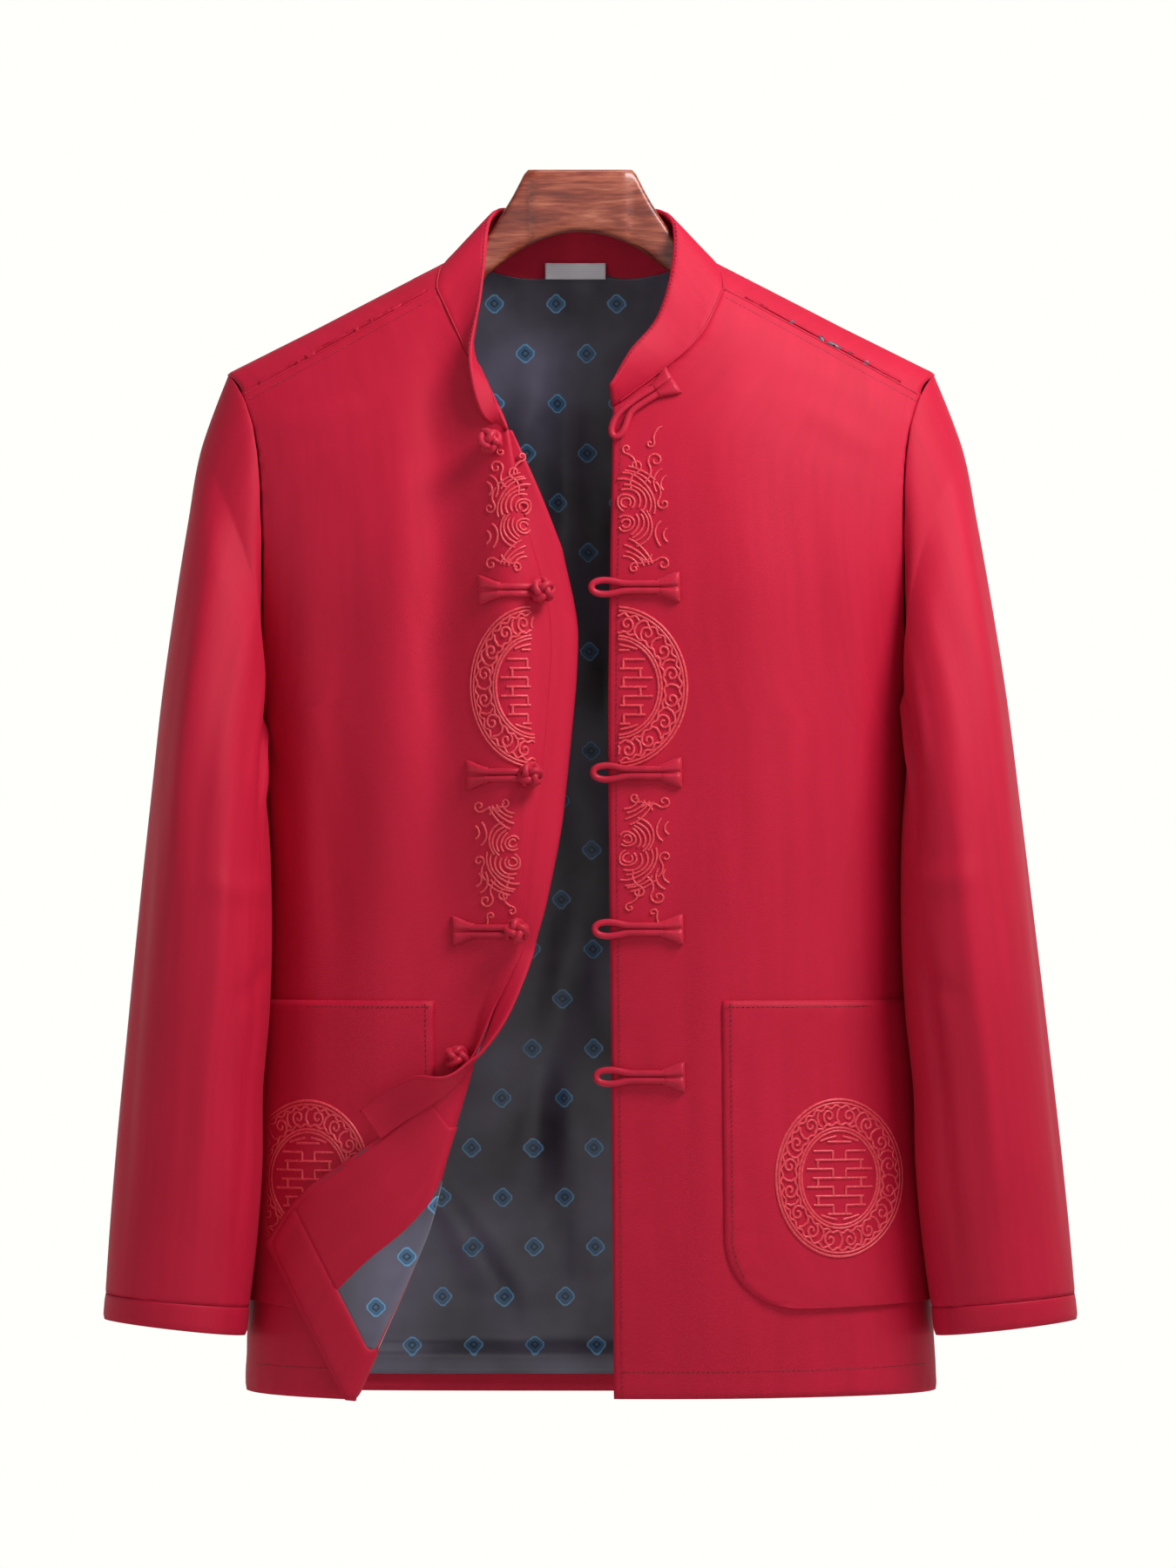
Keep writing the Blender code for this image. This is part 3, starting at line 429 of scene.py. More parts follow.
# %% [markdown]
# ## Thread, label and wood
#
# Embroidery thread is rayon: filaments with little twist, so it is glossier than the cloth
# under it and looks a shade lighter. The label is a plain woven ribbon, left blank. The hanger
# is beech stained to mahogany and lacquered: long fibres along the bar, darker pores, and a
# clear coat on top that gives a soft highlight.

# %% Small finishes
def rayon(name, light, dark):
    made, tree, shader = new_material(name, 0.40, Sheen_Weight=0.4, Sheen_Roughness=0.35,
                                      Sheen_Tint=linear("#ff9a8c"))
    place = node(tree, "ShaderNodeTexCoord").outputs["Object"]
    strands = node(tree, "ShaderNodeTexNoise", {"Vector": place, "Scale": 700.0, "Detail": 1.0})
    tree.links.new(colour_ramp(tree, strands.outputs["Fac"], [(0.3, dark), (0.7, light)]),
                   shader.inputs["Base Color"])
    add_bump(tree, shader, strands.outputs["Fac"], 0.3)
    return made


def woven_ribbon(name):
    made, tree, shader = new_material(name, 0.55, Sheen_Weight=0.2)
    place = node(tree, "ShaderNodeUVMap", uv_map="cut").outputs["UV"]
    ribs = node(tree, "ShaderNodeTexWave", {"Vector": place, "Scale": HALF_TURN / (10 * 0.0009),
                                            "Distortion": 0.4}, bands_direction="Y")
    tree.links.new(colour_ramp(tree, ribs.outputs["Fac"], [(0.0, "#cfcfdb"), (1.0, "#eceaf2")]),
                   shader.inputs["Base Color"])
    add_bump(tree, shader, ribs.outputs["Fac"], 0.2)
    return made


def stained_beech(name):
    made, tree, shader = new_material(name, 0.42, Coat_Weight=0.35, Coat_Roughness=0.22)
    place = node(tree, "ShaderNodeTexCoord").outputs["Object"]
    along = node(tree, "ShaderNodeMapping", {"Vector": place, "Rotation": (0, math.radians(14), 0),
                                             "Scale": (9, 60, 70)})
    grain = node(tree, "ShaderNodeTexNoise", {"Vector": along.outputs["Vector"], "Scale": 1.0, "Detail": 6.0,
                                              "Roughness": 0.62, "Distortion": 1.2})
    pore_place = node(tree, "ShaderNodeMapping", {"Vector": place, "Scale": (60, 500, 600)})
    pores = node(tree, "ShaderNodeTexNoise", {"Vector": pore_place.outputs["Vector"], "Scale": 1.0,
                                              "Detail": 2.0})
    both = node(tree, "ShaderNodeMath", {0: pores.outputs["Fac"], 1: 0.35, 2: grain.outputs["Fac"]},
                operation="MULTIPLY_ADD")
    tree.links.new(colour_ramp(tree, both.outputs["Value"], [(0.45, "#54190f"), (0.62, "#7b2f1e"),
                                                             (0.74, "#994c36"), (0.86, "#ad654f")]),
                   shader.inputs["Base Color"])
    add_bump(tree, shader, both.outputs["Value"], 0.15, 0.0003)
    return made


THREAD = rayon("rayon_embroidery_thread", "#ea4a58", "#cb2c42")
# Sewing thread: dark red, made darker still as painted shade of the groove the stitches press into the
# cloth.
STITCH_WITH_GROOVE_SHADE = rayon("polyester_sewing_thread_with_painted_groove_shade", "#7d1428", "#5c0a1a")
RIBBON = woven_ribbon("white_woven_ribbon")
WOOD = stained_beech("lacquered_mahogany_stained_beech")

# %% [markdown]
# ## A panel of cloth
#
# A panel is a flat grid first, like the cloth on the cutting table, and its UV map is that
# flat cut in metres, so the weave keeps its true scale. Every grid point is then laid on the
# body form. Near each edge the cloth rolls down a little, as it does where it is turned and
# pressed into a seam, and it puckers with the seam's own slightly uneven tension. Solidify
# gives the wall, and where a panel is lined its inner side takes the next material.

# %% Panels
ROLL_WIDTH = 0.0022
PUCKER_WIDTH = 0.011
MEASURING_STEPS = 24


def edge_roll(shares, size, rolls, pucker):
    """How far a point is let down near the four edges, and puckered along them."""
    (across, up), (width, length) = shares, size
    away = (across * width, (1 - across) * width, up * length, (1 - up) * length)
    down = sum(roll * math.exp(-(d / ROLL_WIDTH) ** 2) for roll, d in zip(rolls, away))
    nearest = min((d for roll, d in zip(rolls, away) if roll > 0), default=math.inf)
    near = math.exp(-(nearest / PUCKER_WIDTH) ** 2)
    wave = noise.noise(Vector((across * width * 95, up * length * 95, 3.7)))
    return -down + near * pucker * wave


def line_length(points):
    return sum((b - a).length for a, b in zip(points, points[1:]))


def panel(name, point, columns, rows, outward, finishes=(RED,), wall=CLOTH, lift=0.0, closed=False,
          rolls=(0, 0, 0, 0), pucker=0.0, cut=None, spread=0.0, trim=0.0,
          inner_from=None):
    """Lays a grid on point(across, up), rolls its edges, gives it a wall and declares its flat cut."""
    bm = bmesh.new()
    bmesh.ops.create_grid(bm, x_segments=columns, y_segments=rows, size=0.5)
    trimmed = [f for f in bm.faces if abs(f.calc_center_median().x) > 0.5 - trim]
    steps = MEASURING_STEPS
    mids = [(k / steps, [point(i / steps, k / steps) for i in range(steps + 1)]) for k in range(steps + 1)]
    width = max(line_length(row) for up, row in mids)
    length = max(line_length([row[i] for up, row in mids]) for i in range(0, steps + 1, 4))
    shares = {}
    bm.verts.index_update()
    for v in bm.verts:
        across, up = (min(max(c + 0.5, 0.0), 1.0) for c in v.co.xy)
        across -= spread * math.sin(2 * HALF_TURN * across) / (2 * HALF_TURN)
        shares[v.index] = (across, up)
        v.co = point(across, up)
    uv = bm.loops.layers.uv.new("cut")
    for face in bm.faces:
        for loop in face.loops:
            across, up = shares[loop.vert.index]
            loop[uv].uv = cut(loop.vert.co) if cut else (across * width, up * length)
    if inner_from is not None:
        for face in bm.faces:
            middle = sum(shares[v.index][0] for v in face.verts) / 4
            face.material_index = int(middle * width > inner_from)
    bm.normal_update()
    ordered = list(bm.verts)
    lifts = [lift + edge_roll(shares[v.index], (width, length), rolls, pucker) for v in ordered]
    middle = min(bm.faces, key=lambda f: (f.calc_center_median() - point(0.5, 0.5)).length)
    flipped = middle.normal.dot(outward) < 0
    if closed:
        seam = {}
        for v in ordered:
            seam.setdefault(tuple(round(c, 5) for c in v.co), []).append(v)
    for v, normal, height in [(v, v.normal.copy(), h) for v, h in zip(ordered, lifts)]:
        v.co += normal * height * (-1 if flipped else 1)
    if flipped:
        bmesh.ops.reverse_faces(bm, faces=bm.faces)
    if closed:
        for pair in seam.values():
            centre = sum((v.co for v in pair), Vector()) / len(pair)
            for v in pair:
                v.co = centre
        bmesh.ops.remove_doubles(bm, verts=bm.verts, dist=1e-6)
    bmesh.ops.delete(bm, geom=trimmed, context="FACES")
    area = sum(f.calc_area() for f in bm.faces)
    made = keep(f"{name}_cloth", bm, finishes)
    shell = made.modifiers.new("wall", "SOLIDIFY")
    shell.thickness = wall
    shell.offset = -1
    shell.material_offset = len(finishes) - 1 if inner_from is None else 1
    shell.material_offset_rim = 0
    ride_as(made, (name,))
    print(f"{name}: cut {width * 1000:.0f} x {length * 1000:.0f} mm, {area * 1e4:.0f} square cm")
    return made


def keep(name, bm, finishes):
    """Turns a bmesh into an object with those materials."""
    mesh = bpy.data.meshes.new(name)
    bm.to_mesh(mesh)
    bm.free()
    mesh.shade_smooth()
    for finish in finishes:
        mesh.materials.append(finish)
    made = bpy.data.objects.new(name, mesh)
    bpy.context.scene.collection.objects.link(made)
    return made


def ride_as(made, stands_for=()):
    """Rides on the one body there is, and stands for its CAD nodes."""
    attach(made, "root")
    if stands_for:
        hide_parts(*stands_for)


FORWARD, BACK = Vector((0, -1, 0)), Vector((0, 1, 0))
TO_LEFT, TO_RIGHT = Vector((1, 0, 0)), Vector((-1, 0, 0))


def by_height(co):
    """A flat cut that keeps the motif level: x and z of the hanging lining."""
    return (co.x - sway(co.z) + LINING_SHIFT[0], co.z + LINING_SHIFT[1])


LINING_SHIFT = (0.0362, 0.0995)

# %% [markdown]
# ## The loop side front
#
# This front hangs straight: its edge is the plumb line of the whole jacket. The row numbers run
# from the hem to the shoulder seam, and the neck curve starts at NECK_START. Its inside has a
# red facing along the edge, 70 mm wide, and the lining beyond it.

# %% Loop side front
NECK_START, CHEST = 16 / 22, 0.50
FACING_WIDTH = 0.070
LOOP_EDGE = table("share x z", [
    (0.00, 0.0143, FRONT_HEM_Z),
    (0.25, 0.0148, -0.566),
    (CHEST, 0.0152, -0.345),
    (NECK_START, 0.0200, -0.1540),
])
LOOP_NECK = table("share x z", [
    (NECK_START, 0.0200, -0.1540),
    (0.80, 0.0535, -0.1290),
    (0.90, 0.0765, -0.1070),
    (1.00, NECK_X, NECK_Z),
])
OUTER_EDGE = table("share z", [
    (0.00, SIDE_HEM_Z),
    (0.25, -0.575),
    (CHEST, UNDERARM_Z),
    (NECK_START, -0.225),
    (1.00, SEAM_END_Z),
])


def outer_edge(up):
    """Side seam, then the front of the armhole: its x and z."""
    z = look_up(OUTER_EDGE, "z", up)
    seam = side_x(seam_angle(z), z)
    if up < CHEST:
        return seam, z
    return min(armhole_x(z), seam), z


def front_row(inner, outer, across):
    """A point between the two edges, spaced by the oval's angle so the side is well rounded."""
    (x_in, z_in), (x_out, z_out) = inner, outer
    z = z_in + (z_out - z_in) * across
    start, end = side_angle(x_in, z_in), side_angle(x_out, z_out)
    return side_x(start + (end - start) * across, z), z


def seam_row(across):
    """The upper edge of a front: even steps along the shoulder seam."""
    return NECK_X + (SEAM_END_X - NECK_X) * across, NECK_Z + (SEAM_END_Z - NECK_Z) * across + SHOULDER_LAP


def shoulder_blend(up, row, across):
    """Rows slide into the shoulder seam over the last few of them."""
    share = smooth((up - 0.9) / 0.1)
    seam = seam_row(across)
    return tuple(a + (b - a) * share for a, b in zip(row, seam))


def loop_front_point(across, up):
    edge = LOOP_EDGE if up < NECK_START else LOOP_NECK
    inner = look_up(edge, "x", up), look_up(edge, "z", up)
    x, z = shoulder_blend(up, front_row(inner, outer_edge(up), across), across)
    return front_point(x, z)


panel("left_front", loop_front_point, 84, 220, FORWARD, (RED, RED, SATIN),
      rolls=(0.0010, 0.0006, 0.0008, 0.0009), pucker=0.0005, spread=0.55, inner_from=FACING_WIDTH)

# %% [markdown]
# ## The knot side front and its turned corner
#
# This front falls away from the opening, and its lower corner is turned outwards, so the facing
# and the lining show. A row of it lies on the body as far as a fold line, bends round a small
# radius, and runs back over itself. Reading one table of folds for every row keeps the corner
# one continuous cloth, where a separate flap would never meet it exactly.

# %% Knot side front
KNOT_EDGE = table("share x z", [
    (0.35, 0.0400, -0.5000),
    (0.38, 0.0370, -0.4700),
    (0.42, 0.0296, -0.4100),
    (0.46, 0.0249, -0.3700),
    (CHEST, 0.0207, -0.3250),
    (0.56, 0.0211, -0.2850),
    (0.64, 0.0359, -0.2250),
    (NECK_START, 0.0465, -0.1690),
])
KNOT_NECK = table("share x z", [
    (NECK_START, 0.0465, -0.1690),
    (0.80, 0.0590, -0.1430),
    (0.90, 0.0745, -0.1150),
    (1.00, NECK_X, NECK_Z),
])
FOLD = table("share x z tip_x tip_z turn reach", [
    (0.00, 0.1565, -0.7868, 0.2060, -0.6880, 180, 0.125),
    (0.06, 0.1375, -0.7450, 0.1830, -0.6560, 180, 0.114),
    (0.13, 0.1106, -0.6850, 0.1480, -0.6300, 180, 0.081),
    (0.19, 0.0980, -0.6400, 0.1190, -0.6085, 178, 0.052),
    (0.23, 0.0900, -0.6110, 0.0995, -0.5945, 160, 0.032),
    (0.27, 0.0800, -0.5780, 0.0830, -0.5740, 112, 0.020),
    (0.31, 0.0706, -0.5400, 0.0696, -0.5400, 45, 0.013),
    (0.35, 0.0520, -0.5000, 0.0500, -0.5000, 0, 0.012),
])
FOLD_END = FOLD[-1]["share"]
FOLD_RADIUS, EDGE_STRIP, EDGE_STEP = 0.0045, 0.012, 0.002


def knot_columns_on_body(up):
    """Share of a row's columns that lie on the body; the rest run over the fold."""
    return 0.55 + 0.35 * smooth((up - 0.25) / 0.40)


def knot_row(up):
    """Where a row leaves the body, its turn and how far it runs on."""
    if up >= FOLD_END:
        edge = KNOT_EDGE if up < NECK_START else KNOT_NECK
        return look_up(edge, "x", up) + EDGE_STRIP, look_up(edge, "z", up), 0.0, EDGE_STRIP
    return (look_up(FOLD, "x", up), look_up(FOLD, "z", up),
            math.radians(look_up(FOLD, "turn", up)), look_up(FOLD, "reach", up))


def knot_run_point(run, up, depth=0.0):
    """A point that far along the part of a row that leaves the body, that deep under its outer face."""
    x_leave, z_leave, turn, reach = knot_row(up)
    if run > reach:
        end, before = (knot_run_point(at, up, depth) for at in (reach, reach - EDGE_STEP))
        return end + (end - before).normalized() * (run - reach)
    if turn < 0.02:
        return front_point(run - x_leave, z_leave, -depth)
    bend = min(FOLD_RADIUS, 0.5 * reach / turn)
    angle = min(run / bend, turn)
    straight = max(run - bend * turn, 0.0)
    turned = max(-math.cos(turn), 0.0)
    along = (bend + depth) * math.sin(angle) + straight * math.cos(turn) * (1 - turned)
    out = bend * (1 - math.cos(angle)) + straight * math.sin(turn) - depth * math.cos(angle)
    share = straight / (reach - bend * turn) * turned
    x = (x_leave - along) * (1 - share) + look_up(FOLD, "tip_x", up) * share
    z = z_leave * (1 - share) + look_up(FOLD, "tip_z", up) * share
    return Vector((-x + sway(z), front_point(-x, z).y - out, z))


def knot_front_point(across, up):
    x_leave, z_leave, _, reach = knot_row(up)
    on_body = knot_columns_on_body(up)
    seam = seam_row(1 - across)
    share = smooth((up - 0.9) / 0.1)
    if across > on_body:
        p = knot_run_point(reach * (across - on_body) / (1 - on_body), up)
    else:
        x, z = front_row((x_leave, z_leave), outer_edge(up), 1 - across / on_body)
        p = front_point(-x, z)
    if share == 0:
        return p
    x, z = p.x - sway(p.z), p.z
    return front_point(x + (-seam[0] - x) * share, z + (seam[1] - z) * share)


panel("right_front", knot_front_point, 130, 220, FORWARD, (RED,), rolls=(0.0006, 0.0010, 0.0006, 0.0009),
      pucker=0.0005)

# %% [markdown]
# ## The underlap and the inside of the turned corner
#
# Behind the knot side's edge a strip of the same cloth, 20 mm wide, runs on under the loops, so
# no gap shows when the jacket is closed. Just above the fold it draws in to 8 to 13 mm, as the
# edge starts to turn. It turns with the corner and ends square on it. On the
# turned corner the hem allowance, the facing and a wedge of the lining lie on the cloth, each a
# little above it: they use the same run over the fold, at a lower depth.

# %% Underlap and corner
UNDERLAP_DEPTH = 0.0030
UNDERLAP = table("share width", [
    (0.16, 0.0205),
    (0.23, 0.0205),
    (0.27, 0.0114),
    (0.31, 0.0117),
    (0.35, 0.0077),
    (0.38, 0.0133),
    (0.42, 0.0205),
    (1.00, 0.0205),
])
UNDERLAP_END, UNDERLAP_START = 0.16, NECK_START - 0.001
INNER_DEPTH = CLOTH + 0.0006
HEM_BAND_TOP, LINING_TOP, FACING_TOP = 1 / 22, 0.170, 5 / 22
FACING_INNER = table("row share", [
    (HEM_BAND_TOP, 0.470),
    (2 / 22, 0.395),
    (0.13, 0.280),
    (LINING_TOP, 0.170),
    (FACING_TOP, 0.200),
])


def underlap_point(across, up):
    """The strip that runs on beyond the knot side's edge, down to its squared end."""
    row = UNDERLAP_END + (UNDERLAP_START - UNDERLAP_END) * up
    width = look_up(UNDERLAP, "width", row) * (0.10 + 0.90 * min(1.0, 5 * (1 - up)))
    return knot_run_point(knot_row(row)[3] - 0.002 + (width + 0.002) * across, row, UNDERLAP_DEPTH)


def turned_start(row):
    """Share of a run where it has come round the fold and lies flat again."""
    _, _, turn, reach = knot_row(row)
    return 0.12 * FOLD_RADIUS * turn / reach


def facing_start(row):
    return look_up(FACING_INNER, "share", row)


def to_edge(row):
    return 0.995


def corner_patch(low, high, start, end, depth=INNER_DEPTH):
    """A piece on the inside of the turned corner, between two rows and two shares of each."""
    def point(across, up):
        row = low + (high - low) * up
        share = start(row) + (end(row) - start(row)) * across
        return knot_run_point(knot_row(row)[3] * share, row, depth)
    return point


panel("underlap", underlap_point, 12, 180, FORWARD, rolls=(0, 0.0008, 0.0006, 0))
panel("corner_hem_band",
      corner_patch(0.002, HEM_BAND_TOP + 0.002, turned_start, to_edge, INNER_DEPTH + 0.0010),
      40, 14, FORWARD, rolls=(0, 0.0008, 0.0008, 0.0010))
panel("corner_facing", corner_patch(HEM_BAND_TOP, FACING_TOP, facing_start, to_edge, INNER_DEPTH + 0.0005),
      36, 50, FORWARD, rolls=(0.0008, 0.0008, 0, 0))
panel("corner_lining", corner_patch(HEM_BAND_TOP, LINING_TOP + 0.01, turned_start, to_edge),
      24, 30, FORWARD, (SATIN,), wall=0.0005, cut=by_height)

# %% [markdown]
# ## The back
#
# The back is one piece. It goes over the shoulder tips to the seam, which lies a little forward
# on the chest, as on many jackets of this cut. Inside it hangs the satin lining, cut a little
# longer than it needs, so that it makes a soft jump fold just above the hem.

# %% Back and lining
NECK_SHARE = 0.40
BACK_UNDERARM, BACK_TIP = 0.40, 0.93


def back_side(up):
    """The back's outer edge: side seam, back of the armhole, over the tip to the shoulder seam."""
    if up <= BACK_UNDERARM:
        z = SIDE_HEM_Z + (UNDERARM_Z - SIDE_HEM_Z) * up / BACK_UNDERARM
        return side_x(seam_angle(z), z), turn_at(0, z, False)
    if up <= BACK_TIP:
        share = (up - BACK_UNDERARM) / (BACK_TIP - BACK_UNDERARM)
        share = 0.6 * share + 0.4 * (1 - math.cos(HALF_TURN * share)) / 2
        z = UNDERARM_Z + (TIP_Z - UNDERARM_Z) * share
        x = min(armhole_x(z), side_x(seam_angle(z), z))
        return x, turn_at(x, z, False)
    share = (up - BACK_TIP) / (1 - BACK_TIP)
    z = TIP_Z + (SEAM_END_Z - SHOULDER_LAP - TIP_Z) * share
    x = armhole_x(z) + (SEAM_END_X - armhole_x(z)) * share
    return x, turn_at(x, z, True)


def back_top(half):
    """The back's upper edge on one side: the neck seam, then the shoulder seam outwards."""
    if half >= NECK_SHARE:
        share = (half - NECK_SHARE) / (1 - NECK_SHARE)
        x = NECK_X + (SEAM_END_X - NECK_X) * share
        z = NECK_Z + (SEAM_END_Z - NECK_Z) * share - SHOULDER_LAP
        return x, turn_at(x, z, True)
    lean = math.sin(half / NECK_SHARE * HALF_TURN / 2)
    centre_turn = turn_at(0, BACK_NECK_Z, False)
    corner_turn = turn_at(NECK_X, NECK_Z - SHOULDER_LAP, True)
    return NECK_X * lean, centre_turn + (corner_turn - centre_turn) * (1 - (1 - lean ** 2) ** 0.5)


def back_point(across, up, hem=0.0):
    """hem raises the lower edge, for the lining."""
    side = 1 if across >= 0.5 else -1
    half = abs(across - 0.5) * 2
    spread = math.sin(half * HALF_TURN / 2) ** (2 / SIDE_POWER)
    x_side, turn_side = back_side(up)
    x_top, turn_top = back_top(half)
    x_end, turn_end = back_top(1.0)
    z_hem = BACK_HEM_Z + (SIDE_HEM_Z - BACK_HEM_Z) * half ** 2 + hem
    ease = up ** 3.5
    x = x_side * spread + ease * (x_top - x_end * spread)
    turn = turn_side + ease * (turn_top - turn_end)
    turn += (1 - up) ** 2 * (turn_at(0, z_hem, False) - turn_at(0, SIDE_HEM_Z, False))
    return wrap_point(side * x, turn)


LINING_HEM, JUMP_FOLD_Z, JUMP_FOLD = 0.0125, -0.7665, 0.0050
LINING_DRAGS = table("u0 v0 u1 v1 width depth", [
    (0.000, -0.080, -0.055, -0.200, 0.008, 0.0026),
    (0.012, -0.085, 0.050, -0.150, 0.007, 0.0022),
    (-0.010, -0.095, -0.012, -0.330, 0.010, -0.0018),
    (0.035, -0.150, 0.010, -0.420, 0.010, 0.0020),
    (-0.050, -0.260, 0.020, -0.480, 0.012, 0.0018),
    (0.010, -0.420, -0.050, -0.700, 0.013, 0.0026),
    (-0.030, -0.520, 0.015, -0.770, 0.012, -0.0022),
    (-0.110, -0.640, -0.040, -0.760, 0.010, 0.0028),
    (0.060, -0.300, 0.070, -0.760, 0.014, 0.0026),
    (-0.090, -0.200, -0.120, -0.740, 0.016, 0.0026),
])


def lining_point(across, up):
    limit = 0.992 - 0.062 * smooth((2 * abs(across - 0.5) - 0.34) / 0.10)
    p = back_point(across, up * limit, LINING_HEM)
    x = p.x - sway(p.z)
    fold = JUMP_FOLD * math.exp(-((p.z - JUMP_FOLD_Z) / 0.006) ** 2)
    slack = 1.5 * fold_height(LINING_DRAGS, x, p.z) + 0.0015 * noise.noise(Vector((x * 30, p.z * 18, 1.3)))
    free = smooth((-0.085 - p.z) / 0.08)
    return p - Vector((0, fold + 0.0004 + free * (slack + 0.0026), 0))


panel("back_panel", back_point, 140, 200, BACK, rolls=(0.0006, 0.0006, 0.0006, 0.0002), pucker=0.0003)
panel("back_lining", lining_point, 120, 240, BACK, (SATIN,), wall=0.0005, lift=-(CLOTH + 0.0006),
      cut=by_height, trim=1 / 60)

# %% [markdown]
# ## Sleeves and cuffs
#
# A straight sleeve is a tube with a slight forward hang. Its table gives the outer and inner
# line, how far forward its middle lies and how deep it is. The head is eased into the armhole,
# which lifts the cloth into a soft roll along the seam. Folds are placed in turns round the
# tube and shares along it: a long one down from the head, and short ones at the bend of the arm.

# %% Sleeves and cuffs
SLEEVE = table("share outer_x outer_z inner_x inner_z mid_y half_depth pinch", [
    (0.00, 0.2278, -0.1313, 0.2104, -0.3650, 0.0000, 0.0500, 0.0140),
    (0.07, 0.2445, -0.1800, 0.2085, -0.3740, -0.0080, 0.0540, 0.0180),
    (0.16, 0.2530, -0.2270, 0.2060, -0.3860, -0.0200, 0.0600, 0.0130),
    (0.25, 0.2620, -0.2830, 0.2040, -0.4050, -0.0320, 0.0640, 0.0070),
    (0.34, 0.2700, -0.3390, 0.2020, -0.4300, -0.0420, 0.0660, 0.0030),
    (0.43, 0.2764, -0.3950, 0.2010, -0.4620, -0.0490, 0.0650, 0.0000),
    (0.52, 0.2828, -0.4510, 0.2010, -0.5000, -0.0540, 0.0640, 0.0000),
    (0.61, 0.2890, -0.5070, 0.2030, -0.5430, -0.0550, 0.0620, 0.0000),
    (0.70, 0.2950, -0.5630, 0.2075, -0.5900, -0.0540, 0.0590, 0.0000),
    (0.79, 0.3010, -0.6190, 0.2085, -0.6390, -0.0510, 0.0560, 0.0000),
    (0.88, 0.3063, -0.6750, 0.2128, -0.6900, -0.0470, 0.0530, 0.0000),
    (0.96, 0.3100, -0.7205, 0.2178, -0.7290, -0.0440, 0.0510, 0.0000),
    (1.00, 0.3115, -0.7365, 0.2200, -0.7470, -0.0430, 0.0505, 0.0000),
])
CUFF_START, HEAD = 0.96, 0.07
SLEEVE_FOLDS = table("u0 v0 u1 v1 width depth", [
    (0.39, -0.10, 0.41, 0.36, 0.014, 0.0050),
    (0.30, 0.02, 0.35, 0.34, 0.024, 0.0030),
    (0.37, 0.05, 0.40, 0.42, 0.016, -0.0030),
    (0.21, 0.03, 0.20, 0.62, 0.030, -0.0022),
    (0.12, 0.05, 0.14, 0.55, 0.030, 0.0024),
    (0.28, 0.30, 0.26, 0.92, 0.026, 0.0026),
    (0.40, 0.45, 0.36, 0.95, 0.022, -0.0026),
    (0.46, 0.42, 0.20, 0.50, 0.018, 0.0016),
    (0.48, 0.52, 0.28, 0.63, 0.016, -0.0014),
    (0.05, 0.40, 0.08, 0.95, 0.030, -0.0020),
    (0.70, 0.05, 0.74, 0.50, 0.030, 0.0030),
    (0.80, 0.06, 0.84, 0.70, 0.028, -0.0024),
    (0.62, 0.30, 0.60, 0.90, 0.024, -0.0024),
    (0.90, 0.35, 0.88, 0.92, 0.030, 0.0020),
])


def sleeve_point(side, turn, along):
    """turn 0 is the outer side, a quarter the front, a half the inner side."""
    angle = 2 * HALF_TURN * turn
    row = {name: look_up(SLEEVE, name, along) for name in SLEEVE[0] if name != "share"}
    up, front = math.cos(angle), math.sin(angle)
    centre_x, half_x = (row["outer_x"] + row["inner_x"]) / 2, (row["outer_x"] - row["inner_x"]) / 2
    centre_z, half_z = (row["outer_z"] + row["inner_z"]) / 2, (row["outer_z"] - row["inner_z"]) / 2
    shift = turn + 0.02 * side
    fold = fold_height(SLEEVE_FOLDS, shift - math.floor(shift), along)
    half_x += fold
    half_depth = row["half_depth"] + fold
    p = Vector((centre_x + half_x * up - row["pinch"] * front ** 2, row["mid_y"] - half_depth * front,
                centre_z + half_z * up))
    if along < HEAD:
        tuck = ARMHOLE_TIP_TUCK * max(up, 0.0) ** 6
        start = armhole_point(angle, side) + Vector((ARMHOLE_GAP - tuck, 0, -0.3 * tuck))
        swell = 0.0035 * math.sin(HALF_TURN * along / HEAD) * abs(front)
        p = start.lerp(p, smooth(along / HEAD)) + Vector((0.5 * swell, -swell * front, 0))
    return Vector((side * p.x + sway(p.z), p.y, p.z))


for side, name, outward in ((1, "left", TO_RIGHT), (-1, "right", TO_LEFT)):
    panel(f"{name}_sleeve", lambda turn, along: sleeve_point(side, turn, along * (CUFF_START - 0.0006)),
          96, 190, outward, (RED, SATIN), closed=True, rolls=(0, 0, 0.0004, 0.0004), pucker=0.0006)
    panel(f"{name}_cuff",
          lambda turn, along: sleeve_point(side, turn, CUFF_START + (1 - CUFF_START) * along), 96, 12,
          outward, (RED,), closed=True, wall=0.0022, lift=0.0002, rolls=(0, 0, 0.0004, 0.0009))

# %% [markdown]
# ## The stand collar
#
# A stand collar is one band, 45 mm high at the back, cut with a slight curve and stiffened with
# interlining, so it stands by itself. Its lower edge follows the neck seam of the three panels.
# On the knot side it falls open and shows its inner face. The top edge is given as points round
# the neck, because they are what the eye reads.

# %% Collar
COLLAR_TOP = table("along x y z", [
    (0.000, -0.0500, -0.0740, -0.1690),
    (0.040, -0.0640, -0.0790, -0.1600),
    (0.085, -0.0718, -0.0760, -0.1330),
    (0.130, -0.0712, -0.0660, -0.1120),
    (0.180, -0.0652, -0.0520, -0.0890),
    (0.220, -0.0615, -0.0340, -0.0650),
    (0.300, -0.0570, -0.0050, -0.0290),
    (0.400, -0.0420, 0.0170, -0.0230),
    (0.500, 0.0000, 0.0330, -0.0210),
    (0.600, 0.0420, 0.0170, -0.0230),
    (0.700, 0.0575, -0.0050, -0.0290),
    (0.760, 0.0600, -0.0200, -0.0480),
    (0.830, 0.0560, -0.0380, -0.0750),
    (0.880, 0.0475, -0.0500, -0.0980),
    (0.940, 0.0315, -0.0630, -0.1180),
    (1.000, 0.0190, -0.0690, -0.1405),
])
